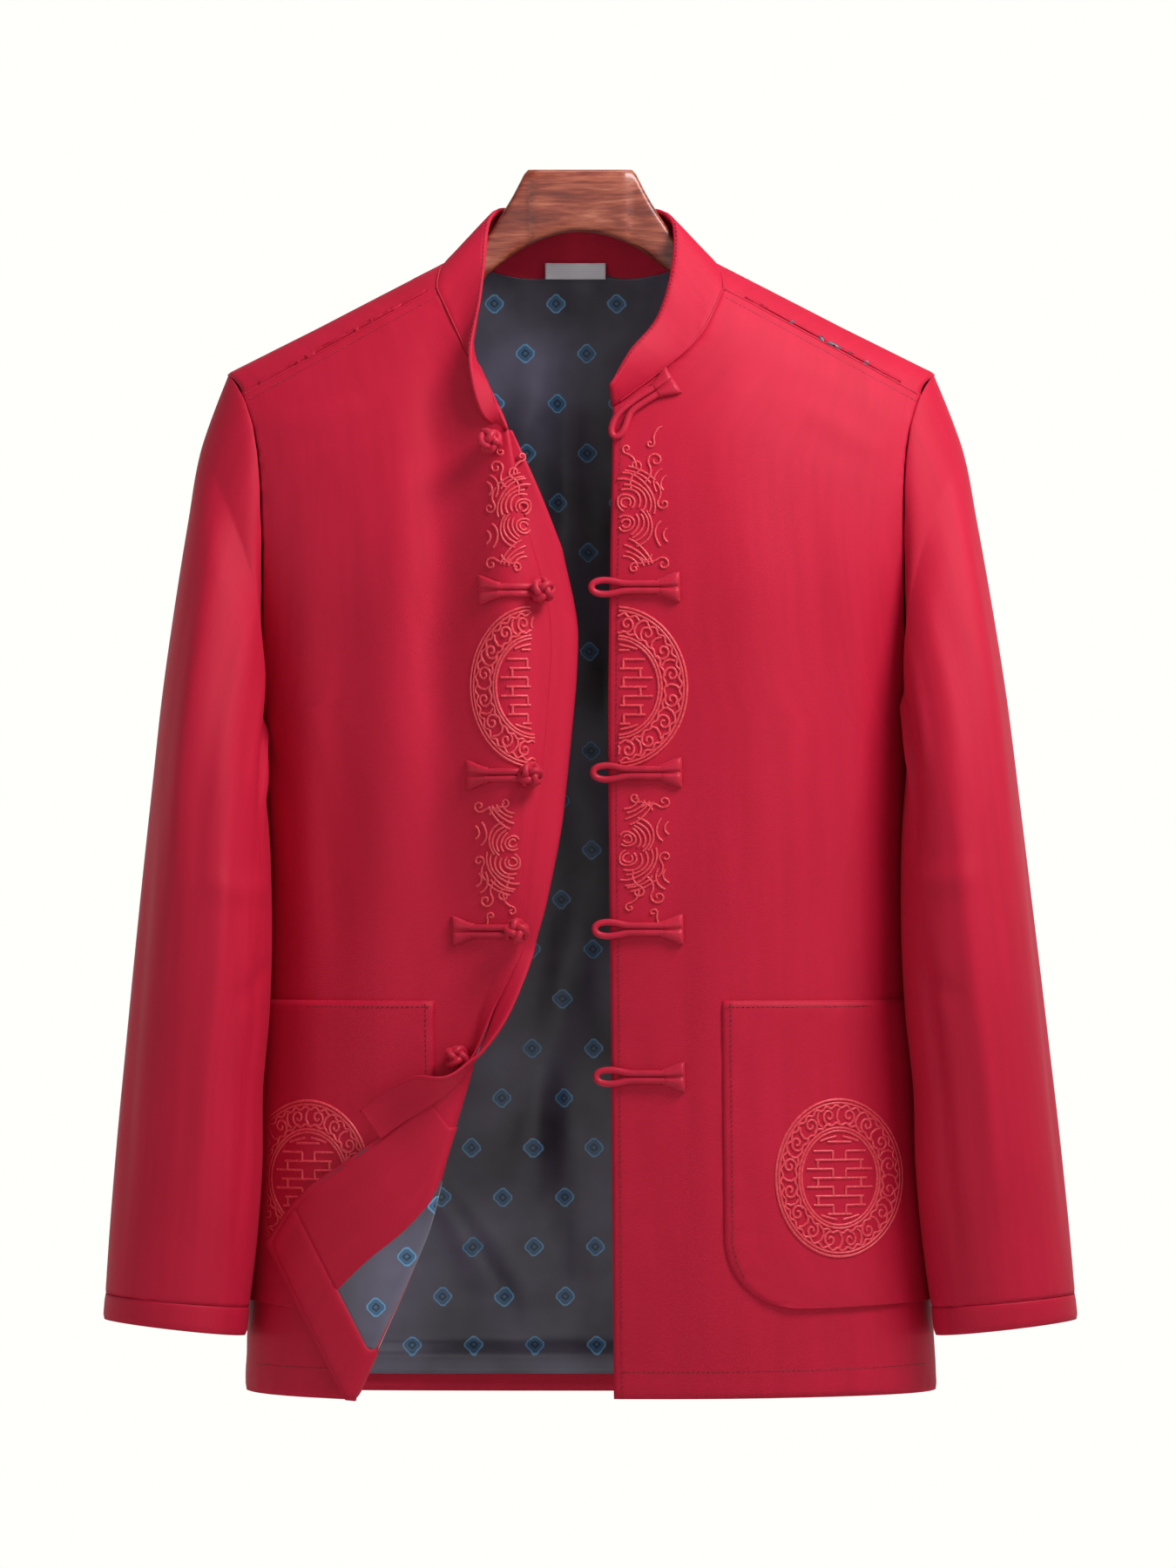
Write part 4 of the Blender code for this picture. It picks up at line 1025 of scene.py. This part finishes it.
COLLAR_BACK, COLLAR_WALL = 0.26, 0.0026


def neck_seam_point(along):
    """The seam under the collar: along the knot front's neck, the back's and the loop front's."""
    side = 1 if along > 0.5 else -1
    share = 0.5 - abs(along - 0.5)
    if share >= COLLAR_BACK:
        x, turn = back_top(NECK_SHARE * (0.5 - share) / (0.5 - COLLAR_BACK))
        return wrap_point(side * x, turn)
    up = NECK_START + (1 - NECK_START) * share / COLLAR_BACK
    edge = LOOP_NECK if side > 0 else KNOT_NECK
    return front_point(side * look_up(edge, "x", up), look_up(edge, "z", up))


def collar_point(along, up):
    low = neck_seam_point(along)
    high = Vector([look_up(COLLAR_TOP, axis, along) for axis in "xyz"])
    high.x += sway(high.z)
    low -= (high - low).normalized() * 0.0012
    return low.lerp(high, up)


panel("collar", collar_point, 180, 22, BACK, (RED,), wall=COLLAR_WALL, lift=0.0004,
      rolls=(0.0008, 0.0008, 0.0007, 0.0014), pucker=0.0004)

# %% [markdown]
# ## Pockets and label
#
# A patch pocket is a second layer of the same cloth, sewn to the front along its sides, so it
# reads the front's own form and is lifted by one cloth and a little air. Its lower inner corner
# is a quarter circle. The label is a blank ribbon, folded and sewn in under the collar.

# %% Pockets and label
POCKET_INNER_X = {1: 0.0855, -1: 0.0975}
POCKET_TOP_Z, POCKET_LOW_Z, POCKET_CORNER = -0.5325, -0.7290, 0.045
POCKET_LIFT = CLOTH + 0.0009


def fold_line(z):
    """Where the turned corner's fold crosses a height."""
    rows = [row for row in FOLD if row["turn"] > 90]
    return look_up([{"z": row["z"], "x": row["x"]} for row in rows], "x", z)


def pocket_shape(side, across, z):
    """Inner edge, rounded at its lower corner, and x at that share across."""
    rise = min((z - POCKET_LOW_Z) / POCKET_CORNER, 1.0)
    edge = POCKET_INNER_X[side]
    if side < 0:
        edge = max(edge, fold_line(z) + 0.007)
    inner = edge + POCKET_CORNER * (1 - math.sqrt(1 - (1 - rise) ** 2))
    start, end = side_angle(inner, z), seam_angle(z) - 0.10
    return side_x(start + (end - start) * across, z)


def pocket_point(side, across, up):
    z = POCKET_LOW_Z + (POCKET_TOP_Z - POCKET_LOW_Z) * up ** 1.7
    z += 0.004 * smooth(across) * (1 - up)
    return front_point(side * pocket_shape(side, across, max(z, POCKET_LOW_Z)), z)


for side, name in ((1, "left"), (-1, "right")):
    panel(f"{name}_pocket", lambda across, up: pocket_point(side, across, up), 64, 84, FORWARD,
          lift=POCKET_LIFT, rolls=(0.0018, 0.0004, 0.0018, 0.0008), pucker=0.0005, spread=0.3)

LABEL_X, LABEL_WIDTH = -0.0030, 0.0390
LABEL_LOW_Z, LABEL_HEIGHT, LABEL_INSIDE, LABEL_BOW = -0.0690, 0.0105, 0.0066, 0.0006


def label_point(across, up):
    x = LABEL_X + LABEL_WIDTH * (across - 0.5)
    seam = neck_seam_point(0.5 + 0.24 * x / NECK_X)
    y = seam.y - LABEL_INSIDE - LABEL_BOW * math.sin(HALF_TURN * across)
    return Vector((x, y, LABEL_LOW_Z + LABEL_HEIGHT * up))


panel("label", label_point, 24, 8, BACK, (RIBBON,), wall=0.0006)

# %% [markdown]
# ## Thread work
#
# Embroidery is thread standing on the cloth, so it is modelled as thread: lines drawn flat in
# millimetres, laid on the panel point by point, and given a round section that is half sunk in
# the cloth. Bump alone would look printed on from the side. Stitches are the same thing cut
# into short lengths.

# %% Thread helpers
def threads(name, lines, radius, finish, stands_for=(), sides=1):
    """Round threads along lists of points."""
    curve = bpy.data.curves.new(name, "CURVE")
    curve.dimensions = "3D"
    for points in lines:
        line = curve.splines.new("POLY")
        line.points.add(len(points) - 1)
        for end, p in zip(line.points, points):
            end.co = (*p, 1)
    curve.bevel_depth = radius
    curve.bevel_resolution = sides
    curve.use_fill_caps = True
    curve.materials.append(finish)
    made = bpy.data.objects.new(name, curve)
    bpy.context.scene.collection.objects.link(made)
    ride_as(made, stands_for)
    return made


STITCH_LENGTH, STITCH_GAP = 0.0022, 0.0010


def stitched(points):
    """Cuts a line into stitches: short pieces with a gap between them."""
    pieces, piece, walked = [], [points[0]], 0.0
    for start, end in zip(points, points[1:]):
        gap = (end - start).length
        steps = max(1, math.ceil(gap / 0.0006))
        for k in range(1, steps + 1):
            p = start.lerp(end, k / steps)
            walked += gap / steps
            share = walked % (STITCH_LENGTH + STITCH_GAP)
            if share < STITCH_LENGTH:
                piece.append(p)
            else:
                if len(piece) > 1:
                    pieces.append([piece[0], piece[len(piece) // 2], piece[-1]])
                piece = []
    return pieces


def on_front(flat, forward=0.0003):
    """Lays flat points (x, z) on the outside of a front."""
    return [front_point(x, z, forward) for x, z in flat]


# %% [markdown]
# ## Roundels
#
# On the fronts and pockets sits an embroidered roundel, an oval of about 80 by 100 mm: a double
# rim, a band of waves and curls, and a symmetrical lattice of bars in the middle. This one is a plain
# geometric pattern of its own, worked out from circles and straight bars. On the two front
# edges only half of it is sewn, so the halves meet when the jacket is closed.

# %% Embroidery
def ring(radius, steps=120, wave=0.0, waves=0):
    """A closed line round the unit circle, waving in and out."""
    turns = [2 * HALF_TURN * k / steps for k in range(steps + 1)]
    reaches = [radius + wave * math.sin(waves * t) for t in turns]
    return [(r * math.cos(t), r * math.sin(t)) for r, t in zip(reaches, turns)]


CURL_STEPS = 22


def curl(x, y, radius, turns, start, hand):
    """A spiral from its outside in."""
    line = []
    for k in range(CURL_STEPS + 1):
        share = k / CURL_STEPS
        r = radius * (1 - 0.82 * share)
        t = start + hand * 2 * HALF_TURN * turns * share
        line.append((x + r * math.cos(t), y + r * math.sin(t)))
    return line


def roundel():
    """The lines of a roundel in its own unit circle."""
    lines = [ring(1.0), ring(0.955), ring(0.64), ring(0.60)]
    for k in range(16):
        t = 2 * HALF_TURN * (k + 0.5) / 16
        hand = 1 if k % 2 else -1
        lines.append(curl(0.80 * math.cos(t), 0.80 * math.sin(t), 0.105, 1.25, t + HALF_TURN, hand))
        lines.append([(r * math.cos(t + a), r * math.sin(t + a))
                      for r, a in ((0.70, -0.20), (0.76, -0.15), (0.84, -0.17), (0.90, -0.22))])
    lines += [ring(0.91, 200, 0.022, 36), ring(0.69, 160, 0.016, 28)]
    for k in range(-4, 5):
        y = 0.115 * k
        half = math.sqrt(0.56 ** 2 - y ** 2) - 0.03
        inner = 0.10 if k % 2 else 0.0
        outer = half if k % 2 else half - 0.10
        lines += [[(-outer, y), (-inner, y)], [(inner, y), (outer, y)]]
    for hand in (-1, 1):
        for k in (-4, -2, 0, 2):
            lines.append([(hand * 0.10, 0.115 * k), (hand * 0.10, 0.115 * (k + 1))])
        for k in (-3, -1, 1):
            lines.append([(hand * 0.34, 0.115 * k), (hand * 0.34, 0.115 * (k + 1))])
        lines.append([(hand * 0.05, 0.53), (hand * 0.20, 0.50), (hand * 0.30, 0.47)])
        lines.append([(hand * 0.05, -0.53), (hand * 0.20, -0.50), (hand * 0.30, -0.47)])
    return lines


def divided(line, longest):
    """The same line with points no further apart than longest, so it can bend with the cloth."""
    out = [line[0]]
    for (x0, y0), (x1, y1) in zip(line, line[1:]):
        steps = max(1, math.ceil(math.hypot(x1 - x0, y1 - y0) / longest))
        out += [(x0 + (x1 - x0) * k / steps, y0 + (y1 - y0) * k / steps) for k in range(1, steps + 1)]
    return out


def clipped(line, keep_point):
    """The stretches of a line whose points are kept."""
    pieces, piece = [], []
    for p in line:
        if keep_point(*p):
            piece.append(p)
        elif piece:
            pieces.append(piece)
            piece = []
    pieces.append(piece)
    return [piece for piece in pieces if len(piece) > 1]


def laid_roundel(centre_x, centre_z, half_width, half_height, forward, keep_point):
    lines = []
    for line in roundel():
        flat = [(centre_x + half_width * x, centre_z + half_height * y) for x, y in divided(line, 0.06)]
        lines += [on_front(piece, forward) for piece in clipped(flat, keep_point)]
    return lines


THREAD_RADIUS, THREAD_LIFT = 0.00088, 0.0003
ON_POCKET = POCKET_LIFT + THREAD_LIFT
for name, x, z, half_width, half_height, forward, kept in (
        ("left_pocket_roundel", 0.1595, -0.6457, 0.0405, 0.0500, ON_POCKET, lambda x, z: True),
        ("right_pocket_roundel", -0.1787, -0.6468, 0.0395, 0.0500, ON_POCKET, lambda x, z: True),
        ("left_edge_roundel", 0.0205, -0.3330, 0.0450, 0.0510, THREAD_LIFT, lambda x, z: x > 0.0210),
        ("right_edge_roundel", -0.0320, -0.3330, 0.0400, 0.0510, THREAD_LIFT, lambda x, z: x < -0.0320)):
    threads(name, laid_roundel(x, z, half_width, half_height, forward, kept), THREAD_RADIUS, THREAD)

NESTS = table("across up inner outer count start end", [
    (0.15, 1.32, 0.09, 0.16, 2, -40, 290),
    (0.15, 1.32, 0.27, 0.54, 4, -22, 108),
    (0.15, 0.93, 0.08, 0.15, 2, -150, 170),
    (0.15, 0.93, 0.24, 0.48, 4, -66, 42),
    (0.06, 0.02, 0.30, 0.62, 4, 14, 84),
    (0.02, 1.28, 0.68, 0.80, 2, 34, 80),
    (1.02, 1.66, 0.20, 0.34, 2, 120, 215),
    (1.04, 0.70, 0.18, 0.34, 2, 130, 230),
])
CURLS = table("across up radius turns start hand", [
    (0.84, 0.16, 0.13, 1.10, 2.2, -1),
    (0.30, 0.08, 0.10, 1.00, 1.4, 1),
    (0.72, 2.12, 0.15, 1.20, 3.6, -1),
    (0.34, 2.02, 0.12, 1.10, 5.2, 1),
    (0.18, 2.34, 0.09, 1.00, 4.4, -1),
    (0.86, 1.30, 0.12, 1.10, 2.6, 1),
    (0.62, 2.44, 0.08, 1.00, 0.2, -1),
])


def nested_arcs(row):
    """Arcs round one middle, each a little unsteady, as a hand-drawn frond is."""
    lines = []
    for k in range(row["count"]):
        share = k / max(1, row["count"] - 1)
        r = row["inner"] + (row["outer"] - row["inner"]) * share
        line = []
        for i in range(25):
            t = math.radians(row["start"] + (row["end"] - row["start"]) * (i / 24) * (1 - 0.10 * (k % 2)))
            wobble = r * (1 + 0.06 * math.sin(2.7 * t + k))
            line.append((row["across"] + wobble * math.cos(t), row["up"] + wobble * math.sin(t)))
        lines.append(line)
    return lines


def tendril(row):
    """The stem that a curl grows from."""
    x = row["across"] + row["radius"] * math.cos(row["start"])
    y = row["up"] + row["radius"] * math.sin(row["start"])
    turn = row["start"] - row["hand"] * HALF_TURN / 2
    line = []
    for _ in range(8):
        line.append((x, y))
        x += 0.055 * math.cos(turn)
        y += 0.055 * math.sin(turn)
        turn += row["hand"] * 0.22
    return line


def scroll(left, low, width, height, hand, flip):
    """A panel of fronds and curls beside the edge, from x = left outwards."""
    lines = [line for row in NESTS for line in nested_arcs(row)]
    lines += [curl(row["across"], row["up"], row["radius"], row["turns"], row["start"], row["hand"])
              for row in CURLS]
    lines += [tendril(row) for row in CURLS]
    tall = 2.55
    laid = []
    for line in lines:
        flat = [(min(max(x, 0.0), 1.08), tall - y if flip else y) for x, y in divided(line, 0.08)]
        laid.append(on_front([(hand * (left + width * x), low + height * y / tall) for x, y in flat]))
    return laid


for name, left, low, width, height, hand, flip in (
        ("left_upper_scroll", 0.0225, -0.2600, 0.034, 0.086, 1, False),
        ("left_lower_scroll", 0.0215, -0.4800, 0.034, 0.079, 1, True),
        ("right_upper_scroll", 0.0330, -0.2600, 0.030, 0.080, -1, False),
        ("right_lower_scroll", 0.0420, -0.4820, 0.030, 0.078, -1, True)):
    threads(name, scroll(left, low, width, height, hand, flip), THREAD_RADIUS * 0.85, THREAD)

# %% [markdown]
# ## Topstitching
# A row of stitches runs beside every finished edge. Here each is a short thread of its own, a
# little over 2 mm long, set in the cloth's surface. Their thread is dark red, darkened further as
# painted shade of the groove that stitching presses into the cloth.

# %% Stitches
def steps_between(start, end, count=120):
    return [start + (end - start) * k / count for k in range(count + 1)]


STITCH_RADIUS = 0.00028
EDGE_STITCH, HEM_STITCH_Z = 0.0052, -0.7694
seams = [
    [front_point(look_up(LOOP_EDGE, "x", up) + EDGE_STITCH, look_up(LOOP_EDGE, "z", up), 0.0001)
     for up in steps_between(0.0, NECK_START - 0.01, 200)],
    [front_point(x, HEM_STITCH_Z + 0.003 * (x / 0.2) ** 2, 0.0001) for x in steps_between(0.0200, 0.2150)],
    [front_point(-x, HEM_STITCH_Z + 0.003 * (x / 0.2) ** 2, 0.0001) for x in steps_between(0.1500, 0.2150)],
]
for side in (1, -1):
    margin = [front_point(side * (pocket_shape(side, 0.0, z) + 0.0055), z, POCKET_LIFT + 0.0001)
              for z in steps_between(POCKET_TOP_Z - 0.002, POCKET_LOW_Z + 0.020)]
    seams.append(margin)
    seams.append([front_point(side * x, POCKET_TOP_Z - 0.004, POCKET_LIFT + 0.0001)
                  for x in steps_between(POCKET_INNER_X[side] + 0.003, 0.200)])
SEAM_RADIUS = 0.00055
welts = []
for side in (1, -1):
    steps = steps_between(0.01, 0.985)
    welts.append([front_point(side * seam_row(k)[0], seam_row(k)[1] - SHOULDER_LAP, 0.0) for k in steps])
    seams.append([front_point(side * seam_row(k)[0], seam_row(k)[1] - 0.0065, 0.0) for k in steps])
welts.append([neck_seam_point(along) + Vector((0, -0.0004, 0)) for along in steps_between(0.01, 0.30)])
welts.append([neck_seam_point(along) + Vector((0, -0.0004, 0)) for along in steps_between(0.70, 0.99)])
for up, start, end in ((0.94, 0.62, 0.985), (0.94, 0.02, 0.40)):
    seams.append([collar_point(along, up) + Vector((0, -0.0006, 0)) for along in steps_between(start, end)])
threads("seam_welts", welts, SEAM_RADIUS, RED_CORD, sides=1)
# The stitches take the darkened thread, whose colour holds painted groove shade.
threads("topstitching", [piece for line in seams for piece in stitched(line)], STITCH_RADIUS, STITCH_WITH_GROOVE_SHADE,
        sides=0)

# %% [markdown]
# ## The frogs
#
# A frog is made of bias-cut strips of the jacket's own cloth, sewn into a round cord. Each loop
# is the cord laid there and back with an eye at its end, each knot is a small Turk's-head ball
# on a short doubled cord, and both end in a folded tab. The ball here really is one strand wound
# round a sphere, over and under itself, because that is what makes it look tied.

# %% Frogs
CORD_RADIUS, KNOT_RADIUS = 0.0022, 0.0080
FROG_ROWS = table("number loop_z knot_x knot_z", [
    (2, -0.2694, 0.0256, -0.2716),
    (3, -0.3875, 0.0345, -0.3892),
    (4, -0.4872, 0.0445, -0.4883),
])
LOWEST_LOOP_Z = -0.5813
TAB_LENGTH, TAB_HALF_ROOT, TAB_HALF_END = 0.0150, 0.0052, 0.0098
BAR_HALF_GAP, EYE_HALF = 0.00225, 0.0046
LOOP_TAB_X = 0.0460
LOOP_LINE = table("x drop half_gap", [
    (LOOP_TAB_X + 0.003, 0, BAR_HALF_GAP),
    (0.0360, 0, BAR_HALF_GAP),
    (0.0260, 0, BAR_HALF_GAP),
    (0.0200, 0, 0.0038),
    (0.0140, 0, EYE_HALF),
    (0.0090, 0, 0.0040),
    (0.0060, 0, 0.0024),
    (0.0050, 0, 0),
])
NECK_LOOP_LINE = table("x z half_gap", [
    (0.0475, -0.1441, BAR_HALF_GAP),
    (0.0370, -0.1505, BAR_HALF_GAP),
    (0.0300, -0.1555, BAR_HALF_GAP),
    (0.0262, -0.1605, 0.0036),
    (0.0235, -0.1665, 0.0042),
    (0.0215, -0.1715, 0.0030),
    (0.0207, -0.1735, 0),
])
KNOT_BAR_LENGTH = 0.0180
STRAND_STEPS, STRAND_RADIUS = 240, 0.00235


def rounded(points):
    """Cuts the corners of a line of points three times, so a bend becomes a curve."""
    for _ in range(3):
        cut = [points[0]]
        for a, b in zip(points, points[1:]):
            cut += [a.lerp(b, 0.25), a.lerp(b, 0.75)]
        points = cut + [points[-1]]
    return points


def doubled_cord(line, z=0.0):
    """One cord laid along a line and back on its other side, open by twice half_gap."""
    middle = [(row["x"], row["z"] if "z" in row else z - row["drop"]) for row in line]
    there, back = [], []
    for i, (x, height) in enumerate(middle):
        before, after = middle[max(i - 1, 0)], middle[min(i + 1, len(middle) - 1)]
        along = Vector((after[0] - before[0], after[1] - before[1])).normalized()
        gap = line[i]["half_gap"]
        there.append((x - along.y * gap, height + along.x * gap))
        back.append((x + along.y * gap, height - along.x * gap))
    return rounded([front_point(x, h, CORD_RADIUS + 0.0002) for x, h in there + back[-2::-1]])


def tab(name, centre_x, centre_z, direction, side):
    """The folded end of a frog: a flared, padded tab with a groove along its middle."""
    def point(across, up):
        half = TAB_HALF_ROOT + (TAB_HALF_END - TAB_HALF_ROOT) * smooth(across)
        along = TAB_LENGTH * across
        span = 2 * up - 1
        x = centre_x + direction[0] * along - direction[1] * half * span
        z = centre_z + direction[1] * along + direction[0] * half * span
        pad = max(0.0, 1 - abs(span) ** 3.5) * max(0.0, 1 - abs(2 * across - 1) ** 6)
        groove = math.exp(-(span / 0.16) ** 2) * (1 - 0.4 * across)
        return front_point(side * abs(x), z, 0.0006 + 0.0042 * pad ** 0.5 - 0.0024 * groove)
    return panel(name, point, 30, 34, FORWARD, (RED_CORD,), wall=0.0006)


def turks_head(centre, tilt):
    """One strand round a sphere, three times round and four bights, weaving as it goes."""
    points = []
    for k in range(STRAND_STEPS + 1):
        t = 2 * HALF_TURN * k / STRAND_STEPS
        longitude, latitude = 3 * t, 1.08 * math.sin(4 * t)
        r = KNOT_RADIUS - 0.0020 + 0.0009 * math.sin(8 * t)
        level = r * math.cos(latitude)
        p = Vector((level * math.cos(longitude), level * math.sin(longitude), r * math.sin(latitude)))
        p.rotate(Euler((HALF_TURN * 0.62, tilt, 0.35)))
        points.append(centre + p)
    return points


def knot_ball(number, x, z):
    """A Turk's head round a smooth core that fills its gaps."""
    centre = front_point(-x, z, KNOT_RADIUS + 0.0008)
    threads(f"knot_ball_{number}_cord", [turks_head(centre, 0.5 * number)], STRAND_RADIUS, RED_CORD,
            stands_for=(f"knot_ball_{number}",), sides=2)
    core = bmesh.new()
    bmesh.ops.create_icosphere(core, subdivisions=3, radius=KNOT_RADIUS - 0.0026)
    bmesh.ops.translate(core, verts=core.verts, vec=centre)
    ride_as(keep(f"knot_core_{number}", core, (RED_CORD,)))


def knot_frog(number, x, z):
    """A knotted ball, the doubled cord behind it and the tab."""
    knot_ball(number, x, z)
    start, end = x + 0.0030, x + KNOT_RADIUS + KNOT_BAR_LENGTH
    line = [front_point(-px, z + h, CORD_RADIUS + 0.0002) for px, h in (
        (end + 0.003, BAR_HALF_GAP), ((start + end) / 2, BAR_HALF_GAP), (start + 0.004, BAR_HALF_GAP),
        (start, 0.0012), (start, -0.0012), (start + 0.004, -BAR_HALF_GAP),
        ((start + end) / 2, -BAR_HALF_GAP), (end + 0.003, -BAR_HALF_GAP))]
    threads(f"knot_bar_{number}_cord", [rounded(line)], CORD_RADIUS, RED_CORD,
            stands_for=(f"knot_bar_{number}",), sides=3)
    tab(f"knot_tab_{number}", end + 0.0006, z, (1, 0), -1)


def loop_frog(number, line, z, tab_x, tab_z, direction):
    threads(f"loop_cord_{number}_cord", [doubled_cord(line, z)], CORD_RADIUS, RED_CORD,
            stands_for=(f"loop_cord_{number}",), sides=3)
    tab(f"loop_tab_{number}", tab_x, tab_z, direction, 1)


for frog in FROG_ROWS:
    loop_frog(frog["number"], LOOP_LINE, frog["loop_z"], LOOP_TAB_X + 0.0006, frog["loop_z"], (1, 0))
    knot_frog(frog["number"], frog["knot_x"], frog["knot_z"])
loop_frog(1, NECK_LOOP_LINE, 0.0, 0.0466, -0.1446, (0.85, 0.53))
loop_frog(5, LOOP_LINE, LOWEST_LOOP_Z, LOOP_TAB_X + 0.0006, LOWEST_LOOP_Z, (1, 0))
knot_ball(1, 0.0585, -0.1765)
knot_ball(5, 0.0835, -0.5690)

# %% [markdown]
# ## The hanger
#
# The hanger is one piece of beech, turned down at its ends and lacquered. It is drawn through
# its sections from one arm to the other. The front edge of the middle is planed to a facet, and
# the edges are eased, so the lacquer catches a thin line of light along them.

# %% Hanger
ARCH_TOP_Z, ARCH_RISE, ARCH_HALF_WIDTH = -0.0400, 0.0265, 0.058
ARM = table("x top low half_depth", [
    (0.0000, 0.0000, -0.0400, 0.0092),
    (0.0300, 0.0000, -0.0470, 0.0098),
    (0.0345, -0.0006, -0.0490, 0.0100),
    (0.0370, -0.0050, -0.0505, 0.0101),
    (0.0450, -0.0200, -0.0560, 0.0105),
    (0.0580, -0.0400, -0.0665, 0.0105),
    (0.0750, -0.0640, -0.0850, 0.0105),
    (0.0950, -0.0790, -0.1000, 0.0110),
    (0.1500, -0.1090, -0.1290, 0.0120),
    (0.2050, -0.1440, -0.1600, 0.0110),
])


def hanger_section(x):
    """Top, bottom and half depth of the hanger at x."""
    top, under, depth = (look_up(ARM, name, x) for name in ("top", "low", "half_depth"))
    if x < ARCH_HALF_WIDTH:
        under = ARCH_TOP_Z - ARCH_RISE * (x / ARCH_HALF_WIDTH) ** 2
    return min(top, 0.0), under, depth


def superellipse(t, power):
    c, s = math.cos(t), math.sin(t)
    return math.copysign(abs(c) ** (2 / power), c), math.copysign(abs(s) ** (2 / power), s)


def hanger_body():
    bm = bmesh.new()
    stations, around = 160, 40
    rings = []
    for k in range(stations + 1):
        x = 0.205 * (2 * k / stations - 1)
        top, low, depth = hanger_section(abs(x))
        end = 1 - 0.35 * smooth((abs(x) - 0.197) / 0.008)
        ring = []
        for i in range(around):
            c, s = superellipse(2 * HALF_TURN * i / around, 5.5)
            facet = 0.0022 * smooth((abs(x) - 0.0300) / 0.0020) * smooth((0.075 - abs(x)) / 0.02)
            y = c * (depth * end) + (facet if c < 0 else 0)
            ring.append(bm.verts.new((x, y, (top + low) / 2 + s * (top - low) / 2 * end)))
        rings.append(ring)
    for before, after in zip(rings, rings[1:]):
        for i in range(around):
            bm.faces.new((before[i], before[(i + 1) % around], after[(i + 1) % around], after[i]))
    bm.faces.new(rings[0][::-1])
    bm.faces.new(rings[-1])
    bmesh.ops.recalc_face_normals(bm, faces=bm.faces)
    made = keep("hanger_body", bm, (WOOD,))
    ride_as(made, ("hanger",))
    return made


hanger_body()

# %% [markdown]
# ## The floor, the light and the camera
#
# A jacket on a white ground is lit from above and a little from the right, with a weak fill, so
# the folds keep soft shadows. The camera stands far off with a long lens, square to the front.

# %% Stage
FLOOR_Z, FLOOR_RADIUS = -1.30, 5.5
floor_mesh = bmesh.new()
bmesh.ops.create_circle(floor_mesh, cap_ends=True, radius=FLOOR_RADIUS, segments=64)
bmesh.ops.translate(floor_mesh, verts=floor_mesh.verts, vec=(0, 0, FLOOR_Z))
PAPER, _, paper_shader = new_material("matt_white_backdrop_paper", 0.9)
paper_shader.inputs["Base Color"].default_value = linear("#f6f6f4")
floor = keep("floor", floor_mesh, (PAPER,))

world = bpy.data.worlds.new("white_studio")
world.use_nodes = True
bpy.context.scene.world = world
sky = world.node_tree
aim = node(sky, "ShaderNodeTexCoord")
tilt = node(sky, "ShaderNodeSeparateXYZ", {0: aim.outputs["Generated"]})
height = node(sky, "ShaderNodeMath", {0: tilt.outputs["Z"]}, operation="ABSOLUTE")
strength = node(sky, "ShaderNodeMapRange", {0: height.outputs[0], 1: 0.16, 2: 0.34, 3: 1.0, 4: 0.18})
backdrop = sky.nodes["Background"]
backdrop.inputs["Color"].default_value = linear("#fffffb")
sky.links.new(strength.outputs[0], backdrop.inputs["Strength"])


def lamp(name, place, target, size, power):
    """A soft square lamp aimed at a point."""
    light = bpy.data.lights.new(name, "AREA")
    light.size = size
    light.energy = power
    made = bpy.data.objects.new(name, light)
    made.location = place
    made.rotation_euler = (Vector(target) - Vector(place)).to_track_quat("-Z", "Y").to_euler()
    bpy.context.scene.collection.objects.link(made)
    return made


MIDDLE = (0.0, 0.0, -0.40)
lamp("key", (0.80, -0.76, 0.76), (0.05, 0, -0.18), 0.6, 25)
lamp("fill", (-2.2, -2.6, 0.2), MIDDLE, 1.8, 4)
lamp("top", (0.3, 0.2, 1.9), MIDDLE, 1.2, 12)

camera_data = bpy.data.cameras.new("camera")
camera_data.sensor_fit = "VERTICAL"
camera_data.sensor_height = 36
camera_data.lens = 36 * 8.0 / 1.008
camera_data.clip_end = 100
camera = bpy.data.objects.new("camera", camera_data)
camera.location = (0.0051, -8.0, -0.3948)
camera.rotation_euler = (HALF_TURN / 2, 0, 0)
bpy.context.scene.collection.objects.link(camera)
bpy.context.scene.camera = camera
# Plain sRGB, so the cloth keeps the colours it was given.
bpy.context.scene.view_settings.view_transform = "Standard"
